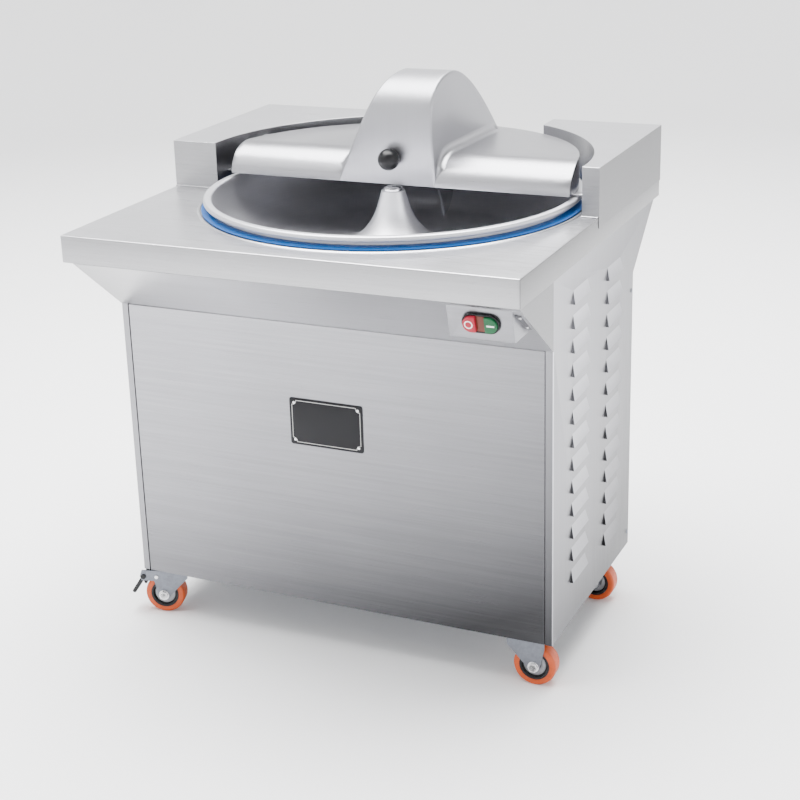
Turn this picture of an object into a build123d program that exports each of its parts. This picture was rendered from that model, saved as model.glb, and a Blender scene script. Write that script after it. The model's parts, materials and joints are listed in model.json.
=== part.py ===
from build123d import *
from math import atan2, cos, degrees, hypot, radians, sin, sqrt
import os

# Bowl cutter on a castored cabinet: a turning bowl, knives on a horizontal shaft and a hinged lid.
# Frame: +X to the operator's right, +Y to the rear, +Z up. The origin is on the floor under the
# centre of the worktop. All sizes are millimetres.

# ---- Overall ---------------------------------------------------------------------------------
overall_width = 775.0
overall_depth = 710.0
overall_height = 940.0
worktop_top = 734.0
half_width = overall_width / 2
half_depth = overall_depth / 2
sheet = 1.5                      # cabinet sheet
housing_sheet = 1.0              # side housings
heavy_sheet = 2.0                # worktop and lid sheet
seam = 0.8                       # visible joint between neighbouring panels
seat_gap = 0.3                   # gap left between pieces of different bodies
running_gap = 0.05               # radial clearance of a shaft in its bore
slide_gap = 0.3                  # side clearance of a sliding cap

# ---- Bowl --------------------------------------------------------------------------------------
bowl_x = 28.0
bowl_y = 13.0
rim_rear_margin = 26.0           # from the rim to the worktop's rear edge
rim_side_margin = 43.5           # from the rim to the housings' outer faces
rim_outer = min(half_depth - bowl_y - rim_rear_margin, half_width - bowl_x - rim_side_margin)
rim_width = 14.0
rim_inner = rim_outer - rim_width
rim_top = worktop_top + 22.0
rim_depth = 9.0
bowl_wall = 3.0
bowl_depth = 91.0
trough_bottom = rim_top - bowl_depth
trough_curve = 92.0              # radial reach of the curve between the floor and the rim
trough_inner = 98.0              # radii between which the trough's floor is flat
trough_outer = rim_inner - trough_curve
neck_radius = 19.5
neck_top = rim_top - 4.0
neck_slope = 73.0                # steepness of the cone in degrees, at its top, middle and foot
waist_radius = 30.0
waist_drop = 34.0
waist_slope = 69.0
foot_radius = 45.0
foot_drop = 60.0
foot_slope = 53.0
spindle_bolt = 8.0
ring_outer = rim_outer + 4.0
ring_shoulder = rim_outer - 8.0
ring_bottom = worktop_top + 1.5
ring_depth = 5.0
ring_top = ring_bottom + ring_depth
cap_radius = 15.6
cap_height = 7.0

# ---- Worktop ---------------------------------------------------------------------------------
worktop_half = half_width - housing_sheet
worktop_edge = 44.7
worktop_under = worktop_top - worktop_edge
worktop_return = 18.0
worktop_corner = 3.0
collar_inner = rim_outer + 5.5
collar_width = 5.0
collar_height = 1.6
bowl_opening = rim_outer - 7.0

# ---- Cabinet ---------------------------------------------------------------------------------
cabinet_right = half_width - 1.5
cabinet_left = -half_width + 7.5
cabinet_front = -half_depth + 145.0
cabinet_rear = half_depth - 152.0
cabinet_bottom = 84.0
front_return = 12.5
panel_fold = 14.0
panel_bend = 2.5                 # outer radius of the panels' vertical folds at the front
apron_height = 109.3
apron_bottom = worktop_under - apron_height
apron_left_taper = 14.0          # the apron's left end leans in this far at its front
rear_slope_bottom = worktop_under - 99.3
rear_slope_reach = 116.5         # how far the rear slope leans out behind the cabinet
base_sheet = 3.0

# ---- Louvres in the side panels ----------------------------------------------------------------
louvre_rows = 13
louvre_length = 78.0
louvre_height = 21.0
louvre_stand = 5.0               # how far a hood stands out of the panel
louvre_slant = 4.0               # the hood's ends lean in by this much at the top
louvre_wall = 1.2
louvre_first_z = worktop_under - 60.8     # lower edge of the highest front louvre
louvre_last_z = cabinet_bottom + 71.7     # lower edge of the lowest front louvre
louvre_pitch = (louvre_first_z - louvre_last_z) / (louvre_rows - 1)
louvre_front_y = cabinet_front + 126.5
louvre_rear_y = cabinet_rear - 112.0
louvre_rear_drop = 11.5

# ---- Knives and their shaft --------------------------------------------------------------------
knife_y = bowl_y + 127.0
knife_z = worktop_top + 48.0
knife_tip_gap = 5.0              # between the knives' tips and the trough's floor
knife_sweep = knife_z - trough_bottom - knife_tip_gap
knife_thickness = 4.0
knife_pitch = 14.0
knife_count = 3
knife_first_x = bowl_x + 24.0
knife_hub = 27.0
shaft_radius = 12.5
tube_radius = 22.0
tube_left = -half_width + 69.5
tube_right = knife_first_x - 8.0
tube_land = 40.0                 # length of the running fit at each end of the tube
tube_relief = 2.5
pedestal_width = 26.0
pedestal_depth = 64.0
pedestal_foot = 12.0
nut_length = 11.0
nut_radius = 21.0
knife_stack_end = knife_first_x + (knife_count - 1) * knife_pitch + knife_thickness

# ---- Lid ---------------------------------------------------------------------------------------
lid_front = bowl_y               # outer face of the lip, as a Y value
lid_radius = rim_outer - 9.0
lid_bottom = worktop_top + 27.5
lid_height = 48.5
lid_fall = 6.0                   # how much lower the lid's top is at its rear
lid_lip = 1.0
lid_bend = 60.0                  # depth of the elliptic bend behind the lip
ellipse_handle = 0.5523          # handle of a curve that draws a quarter of an ellipse
lid_top_front = lid_bottom + lid_height
arch_right = bowl_x + 77.0
arch_left_top = bowl_x - 13.0
arch_left_base = bowl_x - 103.0
arch_rise = overall_height - lid_bottom
arch_bulge = 11.0                # how far the arch's brow stands in front of the lip
arch_brow = 0.62                 # height of the brow, as a share of the arch's rise
arch_crest = 79.0                # from the lip back to the crest
arch_rear = bowl_y + lid_radius - 21.0
arch_rear_lift = 7.5             # the arch ends this far above the lid's top
brow_fullness = 0.72             # handles of the curves, as shares of their spans
crest_fullness = 0.62
fall_start = 0.31
fall_run = 0.32
fall_drop = 0.495
arch_corner = 5.0
notch_front = 24.5               # room ahead of the shaft axis where the lid clears the tube
notch_rear = 30.0
notch_above = 1.5
hinge_y = bowl_y + lid_radius + 17.0
hinge_z = worktop_top + 73.0
hinge_pin = 4.0
barrel_radius = 7.5
barrel_half = 38.0
hinge_leaf_depth = 34.0
hinge_ear = 7.0
bracket_foot = 56.0
bracket_eye = 9.0
bracket_front_gap = 2.0
knob_radius = 18.0
knob_x = bowl_x + 3.0
knob_y = lid_front - 21.0
knob_z = worktop_top + 74.0
knob_neck = 7.0
rest_y = bowl_y + 32.0
rest_size = 14.0
rest_thickness = 2.5
rest_reach = rim_outer - 15.0

# ---- Side housings -----------------------------------------------------------------------------
housing_height = 80.5
housing_top = worktop_top + housing_height
housing_front = bowl_y - 10.3
housing_wall = rim_outer + 15.0  # radius of the concave wall round the bowl
housing_skirt = 17.5
left_housing_end = bowl_x - 123.0
right_housing_end = bowl_x + 162.0
housing_foot = 4.0
housing_foot_sheet = 2.0

# ---- Casters ---------------------------------------------------------------------------------------
swivel_x = half_width - 52.5
swivel_front_y = cabinet_front + 26.0
swivel_rear_y = cabinet_rear - 69.0
left_toe = 15.0                  # the front left caster trails outwards and this many degrees forwards
right_toe = 2.0                  # the front right one trails outwards and this many degrees rearwards
trail = 15.0
wheel_radius = 35.5
wheel_width = 27.0
tread_depth = 10.0
hub_half = 15.0
axle_radius = 4.0
axle_head = 7.0
axle_head_length = 4.0
fork_gap = 2.0
fork_sheet = 2.5
fork_inner = wheel_width / 2 + fork_gap
fork_outer = fork_inner + fork_sheet
crown_gap = 7.0                  # between the tyre's top and the crown
crown_sheet = 4.0
crown_low = 2 * wheel_radius + crown_gap
crown_top = crown_low + crown_sheet
crown_lead = 30.0                # crown's reach on each side of the swivel axis
crown_trail = 33.0
leg_boss = 11.0
race_radius = 20.0
race_height = 9.0
caster_plate_x = 56.0
caster_plate_y = 44.0
caster_plate_sheet = 3.0
kingpin_radius = 5.0
kingpin_nut = 8.5
kingpin_nut_height = 5.0
caster_bolt = 4.5
caster_bolt_inset = 7.0
cheek_end = crown_trail + 25.0   # brake cheeks on the fork, in distances from the swivel axis
cheek_low = crown_top - 20.0
cheek_bolt = 3.5
cheek_bolt_back = 24.0           # from the pedal's pin back to the cheeks' bolt
pedal_pivot = cheek_end - 7.0
pedal_pivot_z = cheek_low + 8.0
pedal_pin = 3.0
pedal_shoe = pedal_pivot - 2.5
pedal_shoe_z = pedal_pivot_z - 12.0
pedal_knee = pedal_pivot + 5.0
pedal_knee_z = pedal_pivot_z - 8.0
pedal_tip = pedal_knee + 15.0
pedal_tip_z = pedal_knee_z - 23.0
pedal_thickness = 7.0
pedal_shoe_thickness = 6.0
pedal_play = 0.6
base_underside = crown_top + seat_gap + race_height + caster_plate_sheet
base_top = base_underside + base_sheet

# ---- Knife drive ---------------------------------------------------------------------------------
motor_rear_gap = 9.5             # between the motor and the rear panel
motor_radius = 80.0
motor_y = cabinet_rear - sheet - motor_radius - motor_rear_gap
motor_centre_height = motor_radius + 10.0
motor_z = base_top + motor_centre_height
motor_shaft = 12.0
pulley_left = -half_width + 35.5
pulley_width = 30.0
shaft_left = pulley_left - 5.0
motor_left = pulley_left + 80.0
motor_length = 222.0
motor_right = motor_left + motor_length
motor_nose = 12.0                # length of the narrower drive end
motor_cowl = 30.0                # length of the fan's cowl
motor_foot = 34.0
motor_foot_sheet = 10.0
motor_foot_inset = 40.0          # from the drive end to the first foot
motor_box_length = 80.0          # terminal box on top
motor_box_width = 76.0
motor_box_height = 26.0
rotor_tail = 40.0                # the rotor's shaft reaches this far into the motor
motor_pulley_radius = 50.0
knife_pulley_radius = 26.0
groove_depth = 6.0
groove_pitch = 14.0
groove_mouth = 10.0
groove_floor = 6.0
belt_play = 0.5
belt_slot = 8.0                  # room round the pulley in the worktop's belt slot

# ---- Bowl drive ----------------------------------------------------------------------------------
reducer_height = 90.0
spindle_housing_radius = 46.0
spindle_housing_height = 70.0
spindle_housing_drop = 36.0      # the housing ends this far below the trough
rail_height = 40.0
rail_width = 25.0
rail_top = trough_bottom - spindle_housing_drop - spindle_housing_height - reducer_height + 1.0
rail_front_y = bowl_y - 69.0
rail_rear_y = bowl_y + 45.0
post_size = 30.0
reducer_size = 118.0
reducer_flange = 16.0
gear_motor_radius = 58.0
gear_motor_length = 190.0
spindle_radius = 20.0
spindle_tip = 12.0
spindle_step = 46.0              # the spindle narrows this far below its shoulder

# ---- Switch box and buttons ----------------------------------------------------------------------
box_left = cabinet_right - 115.0
box_right = cabinet_right - 14.0
box_bottom = worktop_under - 57.3
box_top_y = -half_depth + 5.0
box_bottom_y = -half_depth + 20.0
box_flange = 9.0
box_flange_top = box_bottom + 41.0
box_flange_bottom = box_bottom + 8.0
bezel_x = cabinet_right - 63.0
bezel_z = box_bottom + 28.0
bezel_width = 58.0
bezel_height = 31.0
bezel_stand = 4.0
bezel_wall = 2.5
lamp_width = 13.0
button_travel = 3.0
stop_stand = 5.0
start_stand = 3.5
button_body = 6.0

# ---- Name plate and small fittings -------------------------------------------------------------------
plate_x = -1.0
plate_drop = 169.7               # from the apron's lower edge to the plate's middle
plate_z = apron_bottom - plate_drop
plate_width = 132.0
plate_height = 81.5
plate_sheet = 1.2
plate_corner = 4.0
rivet_radius = 2.6
rivet_inset = 8.5
rivet_stand = 1.0
screw_radius = 4.0
screw_stand = 1.5
gland_x = cabinet_left + 130.0
gland_z = cabinet_bottom + 116.0
gland_bore = 5.0
gland_wall = 3.0
gland_nut = 13.0
gland_nut_length = 9.0
gland_reach = 22.0
gland_tail = 10.0

side_inner_left = cabinet_left + sheet
side_inner_right = cabinet_right - sheet
panel_left = cabinet_left + front_return + seam
panel_right = cabinet_right - front_return - seam
bowl_axis = Pos(bowl_x, bowl_y, 0)


# ---- Helpers ---------------------------------------------------------------------------------------
def block(x0, x1, y0, y1, z0, z1):
    centre = Pos((x0 + x1) / 2, (y0 + y1) / 2, (z0 + z1) / 2)
    return centre * Box(abs(x1 - x0), abs(y1 - y0), abs(z1 - z0))


def rod_x(radius, x0, x1, y, z):
    return Pos((x0 + x1) / 2, y, z) * Rot(0, 90, 0) * Cylinder(radius, x1 - x0)


def rod_y(radius, y0, y1, x, z):
    return Pos(x, (y0 + y1) / 2, z) * Rot(90, 0, 0) * Cylinder(radius, y1 - y0)


def rod_z(radius, z0, z1, x, y):
    return Pos(x, y, (z0 + z1) / 2) * Cylinder(radius, z1 - z0)


def along_x(outline, x0, x1):
    """Extrude a closed outline of (y, z) curves from x0 to x1."""
    return extrude(Plane.YZ.offset(x0) * make_face(outline), amount=x1 - x0)


def slab_x(points, x0, x1):
    return along_x(Polyline(*points, close=True), x0, x1)


def slab_z(points, z0, z1):
    return extrude(Plane.XY.offset(z0) * make_face(Polyline(*points, close=True)), amount=z1 - z0)


def spun(outline):
    """Revolve a closed outline of (radius, z) curves about the bowl's axis."""
    return bowl_axis * revolve(Plane.XZ * make_face(outline), axis=Axis.Z)


def group(solids):
    return Compound(children=list(solids))


# ---- Worktop ---------------------------------------------------------------------------------------
def make_worktop():
    """A folded tray with an inward hem, the bowl's opening, a raised collar and the belts' slot."""
    outer = block(-worktop_half, worktop_half, -half_depth, half_depth, worktop_under, worktop_top)
    outer = fillet(outer.edges().filter_by(Axis.Z), worktop_corner)
    outer = fillet(outer.faces().sort_by(Axis.Z)[-1].edges(), worktop_corner * 0.6)
    inside = block(-worktop_half + heavy_sheet, worktop_half - heavy_sheet,
                   -half_depth + heavy_sheet, half_depth - heavy_sheet,
                   worktop_under + heavy_sheet, worktop_top - heavy_sheet)
    mouth = block(-worktop_half + worktop_return, worktop_half - worktop_return,
                  -half_depth + worktop_return, half_depth - worktop_return,
                  worktop_under - 1, worktop_under + heavy_sheet + 1)
    well = rod_z(bowl_opening, worktop_under, worktop_top + 1, bowl_x, bowl_y)
    reach = knife_pulley_radius + belt_slot
    slot = block(pulley_left - 4, pulley_left + pulley_width + 4, knife_y - reach, knife_y + reach,
                 worktop_top - heavy_sheet - 1, worktop_top + 1)
    collar_outer = collar_inner + collar_width
    low = worktop_top - heavy_sheet / 2
    high = worktop_top + collar_height
    collar = spun(Polyline((collar_inner, low), (collar_outer, low), (collar_outer, worktop_top),
                           (collar_outer - collar_height, high), (collar_inner, high), close=True))
    return outer - inside - mouth - well - slot + collar


# ---- Cabinet panels --------------------------------------------------------------------------------
def louvre_form(side, inset):
    """The wedge of one pressed hood about its lower edge's middle, shrunk by inset on every side."""
    half = louvre_length / 2 - inset
    lean = louvre_slant
    low = 0 if inset == 0 else -1
    top = louvre_height - inset
    base = Polyline((-half, low), (half, low), (half - lean, top), (-half + lean, top), close=True)
    inner = sheet + 1 if inset else 0
    face = extrude(Plane.YZ.offset(-side * inner) * make_face(base), amount=side * (louvre_stand + inner))
    stand = louvre_stand - inset
    slope = Polyline((-inner, low), (stand, low), (0, top), (-inner, top), close=True) if inset else \
        Polyline((0, 0), (stand, 0), (0, top), close=True)
    profile = Plane((0, half + 1, 0), x_dir=(side, 0, 0), z_dir=(0, -side, 0)) * make_face(slope)
    wedge = extrude(profile, amount=louvre_length + 2, both=True)
    return face & wedge


def make_side_panel(side, face_x):
    """A side panel with its folded front return, the rear slope's gusset and two louvre columns."""
    inner_x = face_x - side * sheet
    fold_x = face_x - side * front_return
    outline = [(cabinet_front, cabinet_bottom), (cabinet_rear, cabinet_bottom),
               (cabinet_rear, rear_slope_bottom), (cabinet_rear + rear_slope_reach, worktop_under),
               (cabinet_front, worktop_under)]
    panel = slab_x(outline, min(face_x, inner_x), max(face_x, inner_x))
    panel += block(face_x, fold_x, cabinet_front, cabinet_front + sheet, cabinet_bottom, apron_bottom)
    panel += block(fold_x, fold_x + side * sheet, cabinet_front, cabinet_front + panel_fold,
                   cabinet_bottom, apron_bottom)
    upright = block(face_x, face_x - side * panel_bend, cabinet_front, cabinet_front + panel_bend,
                    cabinet_bottom, apron_bottom)
    panel -= upright - rod_z(panel_bend, cabinet_bottom, apron_bottom, face_x - side * panel_bend,
                             cabinet_front + panel_bend)
    hood = louvre_form(side, 0)
    hollow = louvre_form(side, louvre_wall)
    hoods = []
    hollows = []
    for column_y, drop in ((louvre_front_y, 0), (louvre_rear_y, louvre_rear_drop)):
        for row in range(louvre_rows):
            place = Pos(face_x, column_y, louvre_first_z - drop - row * louvre_pitch)
            hoods.append(place * hood)
            hollows.append(place * hollow)
    return panel + hoods - hollows


def make_front_panel():
    top = apron_bottom - seam
    back = cabinet_front + panel_fold
    panel = block(panel_left, panel_right, cabinet_front, cabinet_front + sheet, cabinet_bottom, top)
    for x in (panel_left, panel_right - sheet):
        panel += block(x, x + sheet, cabinet_front, back, cabinet_bottom, top)
    panel = fillet(panel.edges().filter_by(Axis.Z).group_by(Axis.Y)[0], panel_bend)
    clear = swivel_x - caster_plate_x
    panel += block(-clear, clear, cabinet_front, back, cabinet_bottom, cabinet_bottom + sheet)
    return panel


def make_rear_panel():
    hole = rod_y(gland_bore + gland_wall, cabinet_rear - 5, cabinet_rear + 5, gland_x, gland_z)
    return block(side_inner_left, side_inner_right, cabinet_rear - sheet, cabinet_rear,
                 cabinet_bottom, rear_slope_bottom) - hole


def make_front_apron():
    """The flared front under the worktop: a sloping sheet, a gusset at each end and a flange."""
    brow = (-half_depth, worktop_under)
    foot = (cabinet_front, apron_bottom)
    reach = foot[0] - brow[0]
    drop = brow[1] - foot[1]
    run = hypot(reach, drop)
    skin = slab_x([brow, foot, (foot[0], foot[1] + sheet * run / reach), (brow[0] + sheet * run / drop, brow[1])],
                  cabinet_left, cabinet_right)
    wedge = slab_x([brow, foot, (foot[0], brow[1])], cabinet_left, cabinet_right)
    near = cabinet_left + apron_left_taper
    plan = slab_z([(cabinet_left, foot[0]), (near, brow[0]), (cabinet_right, brow[0]), (cabinet_right, foot[0])],
                  foot[1] - 1, brow[1] + 1)
    left_wall = slab_z([(cabinet_left, foot[0]), (near, brow[0]), (near + sheet, brow[0]),
                        (cabinet_left + sheet, foot[0])], foot[1] - 1, brow[1] + 1)
    right_wall = block(side_inner_right, cabinet_right, brow[0], foot[0], foot[1] - 1, brow[1] + 1)
    low = panel_left + 2 * sheet
    high = panel_right - 2 * sheet
    flange = block(low, high, foot[0] - 0.1, foot[0] + 2 * sheet, foot[1], foot[1] + sheet)
    flange += block(low, high, foot[0] + sheet, foot[0] + 2 * sheet, foot[1] - panel_fold, foot[1] + sheet)
    return (skin & plan) + (wedge & left_wall) + (wedge & right_wall) + flange


def make_rear_apron():
    low = (cabinet_rear, rear_slope_bottom)
    high = (cabinet_rear + rear_slope_reach, worktop_under)
    rise = high[1] - low[1]
    run = hypot(rear_slope_reach, rise)
    lift = sheet * run / rear_slope_reach
    outline = [(low[0] - sheet, low[1]), low, high, (high[0] - sheet * run / rise, high[1]),
               (low[0] - sheet, low[1] + lift - sheet * rise / rear_slope_reach)]
    return slab_x(outline, side_inner_left, side_inner_right)


def make_base_plate():
    back = cabinet_front + panel_fold
    plate = block(side_inner_left, side_inner_right, back, cabinet_rear - sheet, base_underside, base_top)
    tongue = block(panel_left + sheet, panel_right - sheet, cabinet_front + sheet, back, base_underside, base_top)
    return plate + tongue


def make_inner_frame():
    """Four corner posts, a rail along each side and two rails across that carry the bowl drive."""
    left = side_inner_left
    right = side_inner_right
    front = cabinet_front + panel_fold
    rear = cabinet_rear - sheet
    solids = []
    for x in (left, right - rail_width):
        for y in (front, rear - post_size):
            solids.append(block(x, x + rail_width, y, y + post_size, base_top, worktop_under))
        solids.append(block(x, x + rail_width, front + post_size, rear - post_size, rail_top - rail_height, rail_top))
    for y in (rail_front_y, rail_rear_y):
        solids.append(block(left + rail_width, right - rail_width, y - rail_height / 2, y + rail_height / 2,
                            rail_top - rail_height, rail_top))
    return group(solids)


# ---- Side housings ---------------------------------------------------------------------------------
def housing_shell(side, end_x):
    """A hollow block beside the bowl with a concave wall, its outer side lapping over the worktop."""
    face_x = side * half_width
    inner_x = face_x - side * housing_sheet
    plan = block(face_x, end_x, housing_front, half_depth, worktop_top, housing_top)
    outer = plan - rod_z(housing_wall, worktop_top - 1, housing_top + 1, bowl_x, bowl_y)
    room = block(inner_x, end_x + side * housing_sheet, housing_front + housing_sheet,
                 half_depth - housing_sheet, worktop_top - 1, housing_top - housing_sheet)
    room -= rod_z(housing_wall + housing_sheet, worktop_top - 2, housing_top + 1, bowl_x, bowl_y)
    skirt = block(face_x, inner_x, housing_front, half_depth, worktop_top - housing_skirt, worktop_top)
    edge = bowl_x + side * sqrt(housing_wall ** 2 - (housing_front - bowl_y) ** 2)
    foot = block(inner_x, edge, housing_front - housing_foot, housing_front,
                 worktop_top, worktop_top + housing_foot_sheet)
    return outer - room + skirt + foot


def make_left_housing():
    hole = rod_x(tube_radius + seat_gap, tube_left, 0, knife_y, knife_z)
    return housing_shell(-1, left_housing_end) - hole


def make_right_housing():
    return housing_shell(1, right_housing_end)


# ---- Bowl ------------------------------------------------------------------------------------------
def bowl_side(gap):
    """One face of the bowl's wall, from the neck down the cone, across the trough and up to the rim.

    gap is the distance from the food side, measured at right angles to the wall."""
    def shifted(radius, z, slope):
        return (radius - gap * sin(radians(slope)), z - gap * cos(radians(slope)))

    neck = (neck_radius - gap * sin(radians(neck_slope)), neck_top - gap)
    waist = shifted(waist_radius, neck_top - waist_drop, waist_slope)
    foot = shifted(foot_radius, neck_top - foot_drop, foot_slope)
    floor_in = (trough_inner, trough_bottom - gap)
    floor_out = (trough_outer, trough_bottom - gap)
    wall_top = (rim_inner + gap, rim_top - rim_depth)
    wall_end = (rim_inner + gap, rim_top - rim_depth / 2)
    across = (rim_inner - trough_outer) * sin(radians(45)) + gap * cos(radians(45))
    up = (wall_top[1] - trough_bottom) * (1 - cos(radians(45))) - gap * sin(radians(45))
    knuckle = (trough_outer + across, trough_bottom + up)
    down = (cos(radians(neck_slope)), -sin(radians(neck_slope)))
    return [Spline(neck, waist, foot, floor_in, tangents=(down, (1, 0))), Line(floor_in, floor_out),
            Spline(floor_out, knuckle, wall_top, tangents=((1, 0), (0, 1))), Line(wall_top, wall_end)]


def make_bowl():
    food = bowl_side(0)
    under = bowl_side(bowl_wall)
    neck = food[0] @ 0
    under_neck = under[0] @ 0
    rim = food[-1] @ 1
    under_rim = under[-1] @ 1
    ends = [Line((spindle_bolt, neck_top), neck), Line(rim, under_rim),
            Line(under_neck, (spindle_bolt, neck_top - bowl_wall)),
            Line((spindle_bolt, neck_top - bowl_wall), (spindle_bolt, neck_top))]
    shell = spun(food + under + ends)
    middle = Pos((rim_inner + rim_outer) / 2, rim_top - rim_depth / 2)
    bead = middle * RectangleRounded(rim_outer - rim_inner, rim_depth, rim_depth * 0.4)
    return shell + bowl_axis * revolve(Plane.XZ * bead, axis=Axis.Z)


def make_bowl_ring():
    inner = rim_inner + bowl_wall + seat_gap
    return spun(Polyline((inner, ring_bottom), (ring_outer, ring_bottom), (ring_outer, ring_bottom + 1),
                         (ring_shoulder, ring_top), (inner, ring_top), close=True))


def make_bowl_cap():
    """A domed nut on the end of the spindle, over the neck."""
    flat = neck_top + cap_height * 0.6
    dome = [Line((0, neck_top), (cap_radius, neck_top)), Line((cap_radius, neck_top), (cap_radius, flat)),
            Spline((cap_radius, flat), (0, neck_top + cap_height), tangents=((-0.4, 1), (-1, 0))),
            Line((0, neck_top + cap_height), (0, neck_top))]
    return spun(dome) - rod_z(spindle_bolt, neck_top - 1, neck_top + cap_height * 0.5, bowl_x, bowl_y)


def make_bowl_spindle():
    shoulder = neck_top - bowl_wall
    step = rail_top + reducer_height + seat_gap
    cone = shoulder - spindle_step
    bolt_top = neck_top + cap_height * 0.5
    return spun(Polyline((0, rail_top + 5), (shaft_radius, rail_top + 5), (shaft_radius, step), (spindle_radius, step),
                         (spindle_radius, cone), (spindle_tip, cone + spindle_tip), (spindle_tip, shoulder),
                         (spindle_bolt, shoulder), (spindle_bolt, bolt_top), (0, bolt_top), close=True))


def make_spindle_housing():
    low = rail_top + reducer_height
    high = low + spindle_housing_height
    bore = spindle_radius + running_gap
    flange = spindle_housing_radius + 9
    return spun(Polyline((bore, low), (flange, low), (flange, low + 10), (spindle_housing_radius, low + 10),
                         (spindle_housing_radius, high - 18), (spindle_housing_radius - 8, high),
                         (bore, high), close=True))


def make_bowl_gearmotor():
    half = reducer_size / 2
    low = rail_top
    high = rail_top + reducer_height
    flange = half + reducer_flange
    case = block(bowl_x - half, bowl_x + half, bowl_y - half, bowl_y + half, low, high)
    case = fillet(case.edges().filter_by(Axis.Z), 14)
    case += block(bowl_x - half + 14, bowl_x + half - 14, bowl_y - flange, bowl_y + flange, low, low + 12)
    middle = (low + high) / 2
    start = bowl_x + half
    neck = start + 18
    case += rod_x(gear_motor_radius * 0.6, start - 5, neck, bowl_y, middle)
    case += rod_x(gear_motor_radius, neck, start + gear_motor_length, bowl_y, middle + 22)
    case += block(start + 60, start + 130, bowl_y - 35, bowl_y + 35, middle + 22, middle + 96)
    bore = rod_z(shaft_radius + running_gap, low + 4, high + 1, bowl_x, bowl_y)
    return case - bore


# ---- Knives ------------------------------------------------------------------------------------------
def make_knife(index):
    """A sickle blade: a convex cutting edge from the hub to the tip and a hollow back."""
    tip = (knife_sweep * cos(radians(14)), knife_sweep * sin(radians(14)))
    root = (0, knife_hub)
    heel = (knife_hub * cos(radians(-62)), knife_hub * sin(radians(-62)))
    edge = ThreePointArc(root, (knife_sweep * 0.62, knife_sweep * 0.60), tip)
    back = ThreePointArc(tip, (knife_sweep * 0.56, knife_sweep * 0.06), heel)
    blade = make_face([edge, back, Line(heel, (0, 0)), Line((0, 0), root)])
    x = knife_first_x + index * knife_pitch
    turn = -90 + index * 360 / knife_count
    solid = extrude(Plane.YZ * (blade + Circle(knife_hub)), amount=knife_thickness)
    solid = Pos(x, knife_y, knife_z) * Rot(turn, 0, 0) * solid
    return solid - rod_x(shaft_radius, x - 1, x + knife_thickness + 1, knife_y, knife_z)


def make_knives():
    return group(make_knife(index) for index in range(knife_count))


def make_knife_spacers():
    lengths = [(tube_right + seat_gap, knife_first_x)]
    for index in range(knife_count - 1):
        start = knife_first_x + index * knife_pitch + knife_thickness
        lengths.append((start, start + knife_pitch - knife_thickness))
    rings = []
    for low, high in lengths:
        ring = rod_x(knife_hub - 4, low, high, knife_y, knife_z)
        rings.append(ring - rod_x(shaft_radius, low - 1, high + 1, knife_y, knife_z))
    return group(rings)


def make_knife_nut():
    nut = extrude(Plane.YZ.offset(knife_stack_end) * RegularPolygon(nut_radius, 6), amount=nut_length)
    nut = Pos(0, knife_y, knife_z) * nut
    return nut - rod_x(shaft_radius, knife_stack_end - 1, knife_stack_end + nut_length * 0.8, knife_y, knife_z)


def make_knife_shaft():
    return rod_x(shaft_radius, shaft_left, knife_stack_end + nut_length * 0.8, knife_y, knife_z)


def make_bearing_tube():
    """The tube that carries the knife shaft over the rim, on its pedestal inside the left housing."""
    tube = rod_x(tube_radius, tube_left, tube_right, knife_y, knife_z)
    right = tube_left + pedestal_width
    foot = block(tube_left, right, knife_y - pedestal_depth / 2, knife_y + pedestal_depth / 2,
                 worktop_top, worktop_top + pedestal_foot)
    stem = block(tube_left, right, knife_y - tube_radius, knife_y + tube_radius, worktop_top, knife_z)
    bore = rod_x(shaft_radius + running_gap, tube_left - 1, tube_right + 1, knife_y, knife_z)
    relief = rod_x(shaft_radius + tube_relief, tube_left + tube_land, tube_right - tube_land, knife_y, knife_z)
    return tube + foot + stem - bore - relief


# ---- Pulleys, belts and motor ------------------------------------------------------------------------
def groove_centres():
    middle = pulley_left + pulley_width / 2
    return (middle - groove_pitch / 2, middle + groove_pitch / 2)


def make_pulley(radius, bore, y, z):
    wheel = rod_x(radius, pulley_left, pulley_left + pulley_width, 0, 0)
    for x in groove_centres():
        cut = Polyline((x - groove_mouth / 2, radius + 1), (x + groove_mouth / 2, radius + 1),
                       (x + groove_floor / 2, radius - groove_depth), (x - groove_floor / 2, radius - groove_depth),
                       close=True)
        wheel -= revolve(Plane.XY * make_face(cut), axis=Axis.X)
    wheel -= rod_x(bore, pulley_left - 1, pulley_left + pulley_width + 1, 0, 0)
    return Pos(0, y, z) * wheel


def make_knife_pulley():
    return make_pulley(knife_pulley_radius, shaft_radius, knife_y, knife_z)


def make_motor_rotor():
    pulley = make_pulley(motor_pulley_radius, motor_shaft, motor_y, motor_z)
    return pulley + rod_x(motor_shaft, pulley_left - 3, motor_left + rotor_tail, motor_y, motor_z)


def belt_loop(x):
    """One V-belt round both pulleys, as a band that lies in the grooves."""
    distance = hypot(motor_y - knife_y, motor_z - knife_z)
    heading = degrees(atan2(motor_z - knife_z, motor_y - knife_y))

    def band(inset):
        small = knife_pulley_radius - inset
        big = motor_pulley_radius - inset
        lean = (big - small) / distance
        rise = sqrt(1 - lean ** 2)
        small_up = (-small * lean, small * rise)
        small_down = (-small * lean, -small * rise)
        big_up = (distance - big * lean, big * rise)
        big_down = (distance - big * lean, -big * rise)
        return make_face([Line(small_up, big_up), ThreePointArc(big_up, (distance + big, 0), big_down),
                          Line(big_down, small_down), ThreePointArc(small_down, (-small, 0), small_up)])

    width = groove_floor - belt_play
    loop = extrude(Plane.YZ * (band(0) - band(groove_depth - belt_play)), amount=width)
    return Pos(x - width / 2, knife_y, knife_z) * Rot(heading, 0, 0) * loop


def make_v_belts():
    return group(belt_loop(x) for x in groove_centres())


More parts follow.
